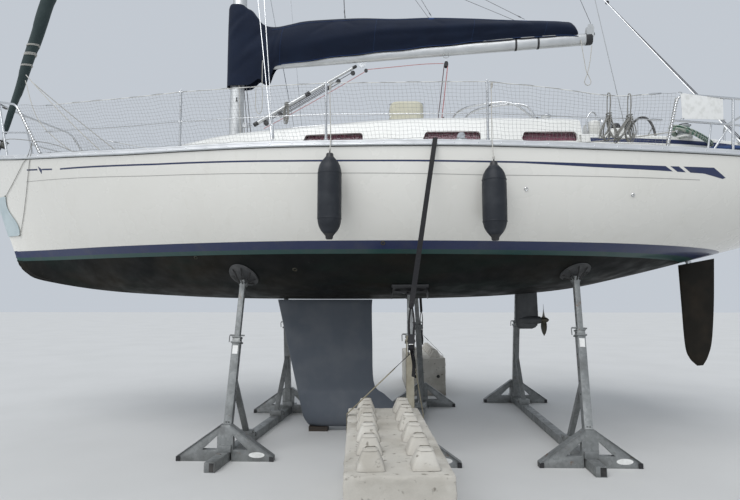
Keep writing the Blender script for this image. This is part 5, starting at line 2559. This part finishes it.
def build_canvas_box():
    form = Form()
    table = [(3.476, 0.196, 0.206), (3.52, 0.203, 0.212), (3.64, 0.206, 0.216), (3.76, 0.204, 0.214),
        (3.815, 0.2, 0.209), (3.845, 0.186, 0.196), (3.86, 0.16, 0.168), (3.866, 0.09, 0.096),
        (3.868, 0.004, 0.004)]
    rings = []
    for z in [3.47] + spread(3.478, 3.8, 16) + [3.815, 3.83, 3.845, 3.855, 3.861, 3.8645, 3.8668, 3.868]:
        a, b = along(table, z), along(table, z, 2)
        ring = []
        for t in around(64):
            c, s = cos(t), sin(t)
            fold = 1 + 0.012 * noise.noise(pt(c * 3, s * 3, z * 14)) - 0.01 * exp(-((z - 3.6) / 0.012) ** 2)
            x, y = BOX_X + a * fold * pressed(c, 0.42), b * fold * pressed(s, 0.42)
            ring.append(pt(x, y, roof_at(x, y) + 0.002 if z < 3.475 else z))
        rings.append(ring)
    form.rings(rings)
    cover = make("canvas_cover", form, [BEIGE_CANVAS], replaces="canvas_box", crease=50)
    trim = Form()
    seam = [pt(BOX_X + 0.198 * pressed(cos(t), 0.42), 0.208 * pressed(sin(t), 0.42), 3.818) for t in around(64)]
    trim.tube(seam, 0.003, 6, loop=True)
    strap = [(0.825, 3.5), (0.826, 3.8), (0.86, 3.858), (1.034, 3.87), (1.21, 3.858), (1.242, 3.8),
        (1.243, 3.5)]
    for y in (-0.1, 0.1):
        path = smooth([(x, y, z) for x, z in strap], 4)
        trim.patch([[p + pt(0, w, 0) for w in (-0.0125, 0.0125)] for p in path], 1)
    for side in (-1, 1):
        trim.turned([(0.01, 0), (0.012, 0.004), (0.008, 0.007)], (0.838, side * 0.2, 3.66), (-1, side, 0), 10,
            2)
    make("canvas_cover_trim", trim, [BEIGE_CANVAS, ROPE_DARK, STAINLESS], open_skin=True)


def build_cushion():
    centre = (4.03, -1.235, deck_at(4.03, 1.235) + 0.05)
    cushion = make("navy_cushion", Form().rings(pillow(centre, (0.33, 0.19, 0.098))), [CUSHION_BLUE], crease=50)
    seam = [turned_about(centre, pressed(cos(u), 0.45) * 0.1655, pressed(sin(u), 0.45) * 0.0955, 0)
        for u in around(48)]
    make("cushion_piping", Form().tube(seam, 0.004, 7, loop=True), [NAVY_CLOTH])


build_canvas_box()
build_cushion()
print("soft things on deck made")

# %% [markdown]
# Fenders are blown vinyl with a thick moulded end at top and bottom. They hang on the rail by thin rope.

# %% Fenders
FENDERS = [("forward", 0.284, -1.742, 2.028, 2.8, 0.262), ("aft", 1.73, -1.745, 2.012, 2.716, 1.748)]
FENDER_END = [(0.004, 0), (0.026, 0.002), (0.032, 0.01), (0.034, 0.03), (0.05, 0.05), (0.074, 0.078),
    (0.092, 0.112), (0.102, 0.15), (0.1065, 0.2)]


def build_fender(name, x, y, low, high, tie_x):
    length = high - low
    form = Form().turned([(r, h) for r, h in FENDER_END[4:]] + [(0.107, length * 0.5)]
        + [(r, length - h) for r, h in reversed(FENDER_END[4:])], (x, y, low), Z, 40)
    form.turned(FENDER_END[:6] + [(0.0745, 0.082)], (x, y, low), Z, 40, 1)
    top = [(0.0745, length - 0.082)] + [(r, length - h) for r, h in reversed(FENDER_END[:6])]
    form.turned(top, (x, y, low), Z, 40, 1)
    for s in (0.24, 0.76):
        form.sheave(0.1066, 0.1082, 0.006, (x, y, low + length * s), Z, 40)
    form.sheave(0.012, 0.014, 0.005, (x, y, high + 0.006), X, 14, 1)
    beam = half_beam(x)
    eye = pt(x, y, high - 0.002)
    over = pt(x + (tie_x - x) * 0.3, -(beam + 0.0235), sheer(x) + 0.036)
    tie = pt(tie_x, -(half_beam(tie_x) - 0.026), sheer(tie_x) + 0.56)
    form.tube(smooth([eye, eye.lerp(over, 0.5) + pt(0, -0.004, 0), over,
        over.lerp(tie, 0.08) + pt(0, 0.004, 0.01), over.lerp(tie, 0.5), tie], 5), 0.0045, 8, 2)
    for dx in (0, 0.01):
        form.tube(circle(tie + pt(dx, 0, 0.004), Y, Z, 0.011, 12), 0.0045, 7, 2, loop=True)
    form.turned([(0.004, -0.016), (0.01, -0.01), (0.011, 0.004), (0.005, 0.014)], tie + pt(0.005, 0, -0.016), Z,
        10, 2)
    form.turned([(0.004, -0.016), (0.011, -0.008), (0.011, 0.008), (0.004, 0.018)], eye + rise(0.035), Z, 10, 2)
    make(f"fender_dressed_{name}", form, [VINYL, BLACK_PLASTIC, ROPE_WHITE], replaces=f"fender_{name}",
        crease=40)


for row in FENDERS:
    build_fender(*row)
print("fenders hung")

# %% [markdown]
# The cradle is hot-dip galvanised steel: three hollow beams on the ground, and on each a post per side that
# leans to the hull, with a brace and a foot plate. An inner tube slides in the post and carries the pad.
# The solids' flat faces are kept, their edges rounded, and welds, holes, labels and caps are added.

# %% Stand tables
BEAM_HEIGHT = 0.088
# Name, x and y of the near end, x and y of the far end
BEAMS = [("beam_front", -0.765, -1.61, -0.5, 1.18), ("beam_middle", 0.975, -1.6, 1.33, 1.7),
    ("beam_aft", 2.605, -1.64, 2.69, 1.99)]
# Name, beam, y of the foot, x and y of the pad, kind of pad, height of the post
STANDS = [("port_front", 0, -1.24, -0.69, -0.87, "round", 1.13),
    ("starboard_front", 0, 0.93, -0.56, 0.82, "round", 1.19),
    ("port_middle", 1, -1.38, 1.03, -0.76, "square", 1.14),
    ("starboard_middle", 1, 1.4, 1.18, 0.8, "square", 1.18), ("port_aft", 2, -1.36, 2.69, -0.93, "round", 1.21),
    ("starboard_aft", 2, 1.75, 2.6, 1.08, "round", 1.19)]


def beam_x(beam, y):
    _, x0, y0, x1, y1 = BEAMS[beam]
    return x0 + (x1 - x0) * (y - y0) / (y1 - y0)


def hull_tree():
    """The hull's skin as a tree of faces, to find its underside fast."""
    rows = hull_rows()
    wide = len(rows[0])
    faces = [[i * wide + j, i * wide + j + 1, (i + 1) * wide + j + 1, (i + 1) * wide + j]
        for i in range(len(rows) - 1) for j in range(wide - 1)]
    return BVHTree.FromPolygons([p for row in rows for p in row], faces)


UNDERSIDE = hull_tree()


def under_hull(x, y):
    """The height of the hull's underside at a place."""
    return UNDERSIDE.ray_cast(pt(x, y, 0), Vector(Z))[0].z


class Post:
    """The leaning line of a stand from its foot to its pad, with directions across it."""

    def __init__(self, row):
        self.name, self.beam, self.foot_y, pad_x, pad_y, self.kind, self.height = row
        self.foot = pt(beam_x(self.beam, self.foot_y), self.foot_y, BEAM_HEIGHT)
        self.pad = pt(pad_x, pad_y, under_hull(pad_x, pad_y))
        self.way = (self.pad - self.foot).normalized()
        self.u = (Vector(X) - self.way * self.way.x).normalized()
        self.v = self.way.cross(self.u)
        self.inboard = -copysign(1, self.foot_y)

    def at(self, z, u=0, v=0):
        share = (z - self.foot.z) / (self.pad.z - self.foot.z)
        return self.foot.lerp(self.pad, share) + self.u * u + self.v * v

    def tube(self, form, z0, z1, half):
        """A square tube with rounded corners, as it is drawn at the mill."""
        corner, rings = 0.006, []
        for z in (z0, z1):
            ring = []
            for k, (a, b) in enumerate(((1, 1), (-1, 1), (-1, -1), (1, -1))):
                for t in spread(0, pi / 2, 4):
                    angle = k * pi / 2 + t
                    ring.append(self.at(z, a * (half - corner) + corner * cos(angle),
                        b * (half - corner) + corner * sin(angle)))
            rings.append(ring)
        form.rings(rings)


# %% Beams
def dress_beam(row):
    name, x0, y0, x1, y1 = row
    refine(name, [GALVANISED], 0.004)
    form = Form()
    way = pt(x1 - x0, y1 - y0, 0).normalized()
    across = pt(way.y, -way.x, 0)
    for at, out in ((pt(x0, y0, 0), -1), (pt(x1, y1, 0), 1)):
        end = at + way * out * 0.0012
        rim, hole = [], []
        for s, t in ((-1, 0), (1, 0), (1, 1), (-1, 1)):
            rim.append(end + across * s * 0.047 + rise(0.001 + t * 0.086))
            hole.append(end + across * s * 0.042 + rise(0.006 + t * 0.076))
        back = [p - way * out * 0.001 for p in hole]
        form.rings([rim, hole], ends=False)
        form.rings([hole, back], 1, ends=False)
        form.face(back if out > 0 else back[::-1], 1)
    for y in spread(y0 + 0.25, y1 - 0.25, 5):
        x = x0 + (x1 - x0) * (y - y0) / (y1 - y0)
        form.turned([(0.009, 0), (0.009, 0.0006)], (x, y, BEAM_HEIGHT), Z, 14, 1)
    make(f"{name}_ends", form, [GALVANISED, RUBBER], open_skin=True)


for row in BEAMS:
    dress_beam(row)


# %% Posts, foot plates and braces
def weld(form, a, b, size=0.004):
    """A bead of weld along an edge."""
    a, b = Vector(a), Vector(b)
    count = max(3, int((b - a).length / 0.008))
    form.tube([a.lerp(b, k / count) for k in range(count + 1)],
        [size * (0.8 + 0.35 * (k % 2)) for k in range(count + 1)], 6)


def dress_stand(row):
    post = Post(row)
    refine(f"stand_{post.name}", [GALVANISED, POST_KHAKI if post.name == "port_middle" else GALVANISED], 0.0035,
        paint=lambda centre: int(centre.z > 0.36 and abs(centre.y - post.at(centre.z).y) < 0.06))
    form = Form()
    outer = -post.inboard
    post.tube(form, post.height - 0.008, post.height + 0.001, 0.0455)
    for z in (0.62, 0.74, 0.86, 0.98):
        for side in (-1, 1):
            form.turned([(0.0095, 0), (0.0095, 0.0007)], post.at(z, side * 0.038), post.u * side, 16, 1)
    for z in (0.3, 0.345):
        for side in (-1, 1):
            at = post.at(z, side * 0.012)
            form.block(at.x, at.y + outer * 0.0375, 0.008, 0.002, at.z - 0.008, at.z + 0.008, 1)
    label_z = post.height - 0.125
    rows = [[post.at(z, u, outer * 0.0408) for u in (-0.026, 0.026)] for z in (label_z - 0.04, label_z + 0.04)]
    form.patch(rows, 2)
    x, y = post.foot.x, post.foot_y
    for side in (-1, 1):
        form.block(x + side * 0.4385, y, 0.02, 0.036, 0.001, 0.046, 3)
        weld(form, (x + side * 0.064, y + outer * 0.032, 0.11), (x + side * 0.064, y + outer * 0.032, 0.15))
        weld(form, *(post.at(z, side * 0.04) + pt(0, outer * 0.03, 0) for z in (0.33, 0.155)))
        form.bar((x + side * 0.455, y, 0.044), (x + side * 0.047, y, 0.331), 0.084, 0.005, Y)
    middle = pt(x + 0.3, y + outer * 0.0318, 0.06)
    oval = [middle + pt(0.075 * cos(a), 0, 0.026 * sin(a)) for a in around(28)]
    form.rings([oval, [middle.lerp(p, 0.002) for p in oval]], 2, ends=False)
    brace_y = post.foot_y + post.inboard * 0.56
    shoe_x = beam_x(post.beam, brace_y)
    form.turned([(0.012, -0.082), (0.015, -0.08), (0.015, -0.07), (0.01, -0.069), (0.01, 0.069), (0.015, 0.07),
        (0.015, 0.08), (0.012, 0.082)], (shoe_x, brace_y, 0.128), X, 6)
    form.tube([(shoe_x + 0.088, brace_y, 0.128), (shoe_x + 0.098, brace_y, 0.12),
        (shoe_x + 0.096, brace_y, 0.085)], 0.004, 8, 1)
    for side in (-1, 1):
        weld(form, *((shoe_x + side * 0.066, brace_y + s * 0.052, BEAM_HEIGHT + 0.003) for s in (-1, 1)), 0.003)
    make(f"stand_details_{post.name}", form, [GALVANISED, RUBBER, STICKER, BLACK_PLASTIC], open_skin=True)


for row in STANDS:
    dress_stand(row)
print("stands dressed")

# %% [markdown]
# The pads carry the load through hard rubber. The round ones are a dished steel disc on spokes, turned to
# lie flat on the hull, and the middle pair have a T with wings bent down. Both sit on a slotted inner tube.


# %% Pads
def follow_hull(ring, gap):
    """Points moved up or down until each lies that far below the hull."""
    return [pt(p.x, p.y, under_hull(p.x, p.y) - gap) for p in ring]


def dress_prop(row):
    post = Post(row)
    form = Form()
    x, y, z = post.pad
    post.tube(form, post.height - 0.155, z - 0.085, 0.0278)
    count = int((z - 0.2 - post.height) / 0.075)
    for k in range(count):
        at = post.height + 0.06 + k * 0.075
        for side in (-1, 1):
            slot, half = post.at(at, side * 0.0278), pt(0.0007, 0.007, 0.016)
            form.box(slot - half, slot + half, 1)
    pin = [post.at(post.height + z, u) for z, u in ((0.018, 0.07), (0.018, -0.075), (0.006, -0.08),
        (-0.05, -0.078))]
    form.tube([pin[1], pin[0]], 0.008)
    form.tube(pin[1:], 0.005, 8)
    if post.kind == "round":
        def ring(radius, gap):
            return follow_hull(circle((x, y, z), X, Y, radius, 44), gap)

        for disc in (((0.006, 0.004), (0.11, 0.0035), (0.146, 0.003), (0.15, 0.008), (0.148, 0.016),
                (0.11, 0.017), (0.01, 0.019)), ((0.01, 0.0195), (0.112, 0.0175), (0.143, 0.0165),
                (0.145, 0.021), (0.112, 0.024), (0.066, 0.034), (0.01, 0.042))):
            form.rings([ring(radius, gap) for radius, gap in disc], 2)
        hub = post.at(z - 0.085)
        for a in around(8):
            rim = pt(x + 0.128 * cos(a), y + 0.128 * sin(a), 0)
            rim.z = under_hull(rim.x, rim.y) - 0.022
            near = hub + pt(0.034 * cos(a), 0.034 * sin(a), 0)
            form.bar(near, rim, 0.007, 0.016, (-sin(a), cos(a), 0), 1)
    else:
        wide, deep = 0.19, 0.11

        def ring(w, d, gap):
            outline = ([(s, -1) for s in spread(-1, 1, 10)] + [(1, s) for s in spread(-1, 1, 6)[1:]]
                + [(s, 1) for s in spread(1, -1, 10)[1:]] + [(-1, s) for s in spread(1, -1, 6)[1:-1]])
            return follow_hull([pt(x + w * s, y + d * t, z) for s, t in outline], gap)

        form.rings([ring(0.01, 0.01, 0.004), ring(wide - 0.004, deep - 0.004, 0.003), ring(wide, deep, 0.007),
            ring(wide, deep, 0.02), ring(0.01, 0.01, 0.021)], 2)
        form.rings([ring(wide, deep * 0.92, 0.0205), ring(wide, deep * 0.92, 0.032)], 3)
        for side in (-1, 1):
            top = follow_hull([pt(x + side * 0.186, y + t * deep * 0.9, z) for t in spread(-1, 1, 5)], 0.03)
            low = [p + pt(side * 0.01, 0, -0.08 + 0.02 * abs(t)) for p, t in zip(top, spread(-1, 1, 5))]
            thick = pt(side * -0.008, 0, 0)
            form.rings([top, low, [p + thick for p in low], [p + thick for p in top]], 3, ends=False,
                closed=False, loop=True)
            form.bar(post.at(z - 0.075), (x + side * 0.15, y, under_hull(x + side * 0.15, y) - 0.03), 0.05,
                0.008, Y, 3)
    form.turned([(0.034, -0.118), (0.04, -0.11), (0.048, -0.09), (0.046, -0.07), (0.034, -0.045)], post.pad, Z,
        28, 3 if post.kind == "square" else 0)
    make(f"prop_dressed_{post.name}", form, [GALVANISED, RUBBER, PAD_RUBBER, BLACK_PLASTIC],
        replaces=f"prop_{post.name}", crease=30, open_skin=True)


for row in STANDS:
    dress_prop(row)
print("pads under the hull")

# %% [markdown]
# Cast concrete blocks with studs, of the kind that stack, hold the boat down by a strap on each side. Their
# edges are chipped and worn, so the solid is rounded, cut finer and pushed about by noise.


# %% Concrete blocks
BLOCKS = {"port": (0.8, -2.62, 0.052), "starboard": (1.41, 3.15, 0.02)}
BLOCK_WIDE, BLOCK_LONG, BLOCK_HIGH = 0.6, 1.8, 0.59


def build_block(name, x, y, turn):
    form = Form()
    inset = 0.004
    form.block(0, 0, BLOCK_WIDE / 2 - inset, BLOCK_LONG / 2 - inset, 0, BLOCK_HIGH - inset)
    for sx in (-1, 1):
        for i in range(6):
            cx, cy = sx * BLOCK_WIDE / 4, -BLOCK_LONG / 2 + (i + 0.5) * BLOCK_LONG / 6
            rings = []
            for half, z in ((0.08, BLOCK_HIGH - 0.006), (0.076, BLOCK_HIGH + 0.012),
                    (0.042, BLOCK_HIGH + 0.096), (0.034, BLOCK_HIGH + 0.102)):
                rings.append([pt(cx + s * half, cy + t * half, z)
                    for s, t in ((-1, -1), (1, -1), (1, 1), (-1, 1))])
            form.rings(rings)
    block = make(f"block_dressed_{name}", form, [CONCRETE], replaces=f"concrete_block_{name}",
        crease=60)
    work = bmesh.new()
    work.from_mesh(block.data)
    bmesh.ops.bevel(work, geom=work.edges[:], offset=0.014, segments=2, affect="EDGES", profile=0.5)
    bmesh.ops.subdivide_edges(work, edges=[e for e in work.edges if e.calc_length() > 0.4], cuts=24,
        use_grid_fill=True)
    spin = Matrix.Rotation(turn, 4, "Z")
    for vert in work.verts:
        p = vert.co.copy()
        rub = 0.0035 * noise.noise(p * 9) + 0.0025 * noise.noise(p * 31)
        near = sum(abs(abs(a) - b) < 0.03 for a, b in ((p.x, BLOCK_WIDE / 2), (p.y, BLOCK_LONG / 2),
            (p.z, BLOCK_HIGH)))
        if near >= 2:
            rub -= 0.01 * max(0, noise.noise(p * 14 + pt(3, 1, 2)))
        shift = pt(copysign(rub, p.x) if abs(p.x) > 0.28 else 0, copysign(rub, p.y) if abs(p.y) > 0.87 else 0,
            rub if p.z > 0.1 else 0)
        vert.co = spin @ (p + shift) + pt(x, y, 0)
        vert.co.z = max(vert.co.z, 0)
    work.to_mesh(block.data)
    work.free()
    shade(block, 42)
    sockets = Form()
    for u in (-0.18, 0.18):
        at = spin @ pt(u, -BLOCK_LONG / 2 + 0.0005, 0.3) + pt(x, y - 0.001, 0)
        sockets.turned([(0.026, 0), (0.024, -0.012), (0.001, -0.012)], at, spin @ pt(0, -1, 0), 20)
    make(f"block_sockets_{name}", sockets, [RUBBER], open_skin=True)


for name, values in BLOCKS.items():
    build_block(name, *values)

# %% [markdown]
# The tie-down straps are flat woven belt. Each runs over the toe rail to a ratchet, and from there slings
# of a lighter belt spread round the block. They are taut, so their edges stay straight with a small twist.

# %% Straps
STRAPS = [("port", -1, (0.975, -2.15, 1.13), 0.6), ("starboard", 1, (1.372, 2.64, 0.99), -0.52)]
STRAP_X = 1.225


def belt(form, path, across, wide, thick=0.003, finish=0, twist=0):
    """A flat belt along a path, turned a little from end to end."""
    path = [Vector(p) for p in path]
    rings = []
    for i, p in enumerate(path):
        way = (path[min(i + 1, len(path) - 1)] - path[max(i - 1, 0)]).normalized()
        u = Vector(across) - way * way.dot(Vector(across))
        u.normalize()
        v = way.cross(u)
        a = twist * i / (len(path) - 1)
        u, v = u * cos(a) + v * sin(a), v * cos(a) - u * sin(a)
        rings.append([p - u * wide / 2 - v * thick / 2, p + u * wide / 2 - v * thick / 2,
            p + u * wide / 2 + v * thick / 2, p - u * wide / 2 + v * thick / 2])
    form.rings(rings, finish)


def build_strap(name, side, hook, reach):
    form = Form()
    hook = Vector(hook)
    beam = half_beam(STRAP_X)
    rail = pt(STRAP_X, side * (beam + 0.0225), sheer(STRAP_X) + 0.022)
    inboard = [pt(STRAP_X + 0.006, side * (beam - 0.06), sheer(STRAP_X) + 0.018),
        pt(STRAP_X + 0.002, side * (beam - 0.006), sheer(STRAP_X) + 0.0445),
        pt(STRAP_X, side * (beam + 0.014), sheer(STRAP_X) + 0.043), rail]
    joint = hook + pt(0.004, 0, 0.33)
    down = [rail.lerp(joint, t) for t in spread(0, 1, 16)][1:]
    belt(form, smooth(inboard, 4) + down, X, 0.042, 0.003, 0, 0.12)
    form.turned([(0.01, -0.028), (0.018, -0.02), (0.022, 0), (0.018, 0.02), (0.01, 0.028)], joint,
        (0.3, 0.1, 1), 12)
    for dx in (-0.018, 0.02):
        loop = [joint + pt(dx * 0.3, 0, -0.01), joint.lerp(hook, 0.35) + pt(dx, 0.004, 0),
            joint.lerp(hook, 0.75) + pt(dx * 0.9, -0.004, 0), hook + pt(dx * 0.5, 0, 0.055)]
        belt(form, smooth(loop, 5), (0.4, 1, 0), 0.026, 0.003, 0, 0.5)
    for x in (-0.026, 0.02):
        form.box(hook + pt(x, -0.016, -0.055), hook + pt(x + 0.006, 0.016, 0.08), 1)
    form.pin(0.012, 0.03, hook + rise(0.052), X, 14, 1)
    form.turned([(0.01, -0.02), (0.021, -0.019), (0.023, 0), (0.021, 0.019), (0.01, 0.02)], hook, X, 22)
    for dx in (-0.023, 0.023):
        form.pin(0.024, 0.002, hook + pt(dx, 0, 0), X, 16, 1)
    form.box(hook + pt(-0.024, -0.03, 0.03), hook + pt(0.024, -0.022, 0.105), 1)
    belt(form, smooth([hook + pt(0, 0.02, -0.01), hook + pt(0.012, 0.035, -0.06),
        hook + pt(0.022, 0.024, -0.14), hook + pt(0.016, 0.034, -0.23)], 5), (1, 0.2, 0), 0.03, 0.0025, 0, 0.8)
    x, y, turn = BLOCKS[name]
    c, s = cos(turn), sin(turn)

    def on_block(u, v, z):
        return pt(x + u * c - v * s, y + u * s + v * c, z)

    for way in (-1, 1):
        edge = on_block(way * (BLOCK_WIDE / 2 + 0.0045), reach, BLOCK_HIGH + 0.005)
        low = on_block(way * (BLOCK_WIDE / 2 + 0.0045), reach, 0.06)
        start = hook + pt(way * 0.012, 0, -0.05)
        run = [start.lerp(edge, t) for t in spread(0, 1, 14)]
        belt(form, run[:5], (-s, c, 0), 0.026, 0.004, 0, 0.3)
        belt(form, run[3:] + [edge.lerp(low, 0.04), edge.lerp(low, 0.5), low], (-s, c, 0), 0.036, 0.004, 2)
    make(f"strap_dressed_{name}", form, [WEBBING, BLACK_PLASTIC, SLING_KHAKI], replaces=f"strap_{name}",
        open_skin=True)


for row in STRAPS:
    build_strap(*row)

# %% [markdown]
# The keel rests on short lengths of wet sawn timber. Grain runs along them, their ends are darker, and
# their edges are split and round, so the boxes get a wide bevel and some noise.


# %% Keel timbers
def build_timber(node):
    form = Form()
    low, high = map(Vector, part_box(node))
    ys = spread(low.y + 0.002, high.y - 0.002, 12)
    rings = []
    for x in spread(low.x + 0.002, high.x - 0.002, 14):
        ring = []
        for y, z in ([(y, low.z + 0.0005) for y in ys] + [(ys[-1], high.z - 0.002)]
                + [(y, high.z - 0.0015) for y in reversed(ys[1:-1])] + [(ys[0], high.z - 0.002)]):
            worn = 0.0022 * noise.noise(pt(x, y, z) * 9) if z > low.z + 0.01 else 0
            ring.append(pt(x, y, z - abs(worn)))
        rings.append(ring)
    form.rings(rings)
    for k in range(3):
        y = (low.y + high.y) / 2 + (k - 1) * 0.055
        form.bar((low.x + 0.0018, y, high.z - 0.01), (low.x + 0.0018, y + 0.01, low.z + 0.014), 0.002, 0.0008,
            Y, 1)
    make(f"{node}_dressed", form, [WET_TIMBER, RUBBER], replaces=node, crease=40)


build_timber("keel_block_fore")
build_timber("keel_block_aft")
print("blocks, straps and timbers made")

# %% [markdown]
# The floor is plain and pale, and the light is soft, like a studio under a white tent.
# A broad sun gives shape without hard shadows, and the pale world fills in from all round.


# %% Floor, backdrop and light
FLOOR_HALF = 60


def lay_floor():
    ground = Finish("floor_pale", (0.6, 0.6, 0.59), 0.8)
    ground.lay((0.54, 0.54, 0.53), ground.cloud(0.8, detail=6), 0.4, 0.7, 0.5)
    corners = [(x * FLOOR_HALF, y * FLOOR_HALF, 0) for x, y in ((-1, -1), (1, -1), (1, 1), (-1, 1))]
    make("studio_floor", Form().face(corners), [ground.material], body=None, open_skin=True)


def light(name, energy, direction, spread_degrees):
    lamp = bpy.data.lights.new(name, "SUN")
    lamp.energy, lamp.angle = energy, radians(spread_degrees)
    show(name, lamp).rotation_euler = Vector(direction).to_track_quat("-Z", "Y").to_euler()


def light_the_yard():
    light("broad_sun", 1.75, (0.3, 0.75, -1), 50)
    light("fill_from_ahead", 0.35, (0.8, 0.6, -0.25), 70)
    world = bpy.data.worlds.new("white_tent")
    world.use_nodes = True
    shade_node = world.node_tree.nodes["Background"]
    shade_node.inputs["Color"].default_value = (0.8, 0.86, 0.94, 1)
    shade_node.inputs["Strength"].default_value = 0.68
    bpy.context.scene.world = world
    bpy.context.scene.view_settings.view_transform = "Standard"


lay_floor()
light_the_yard()
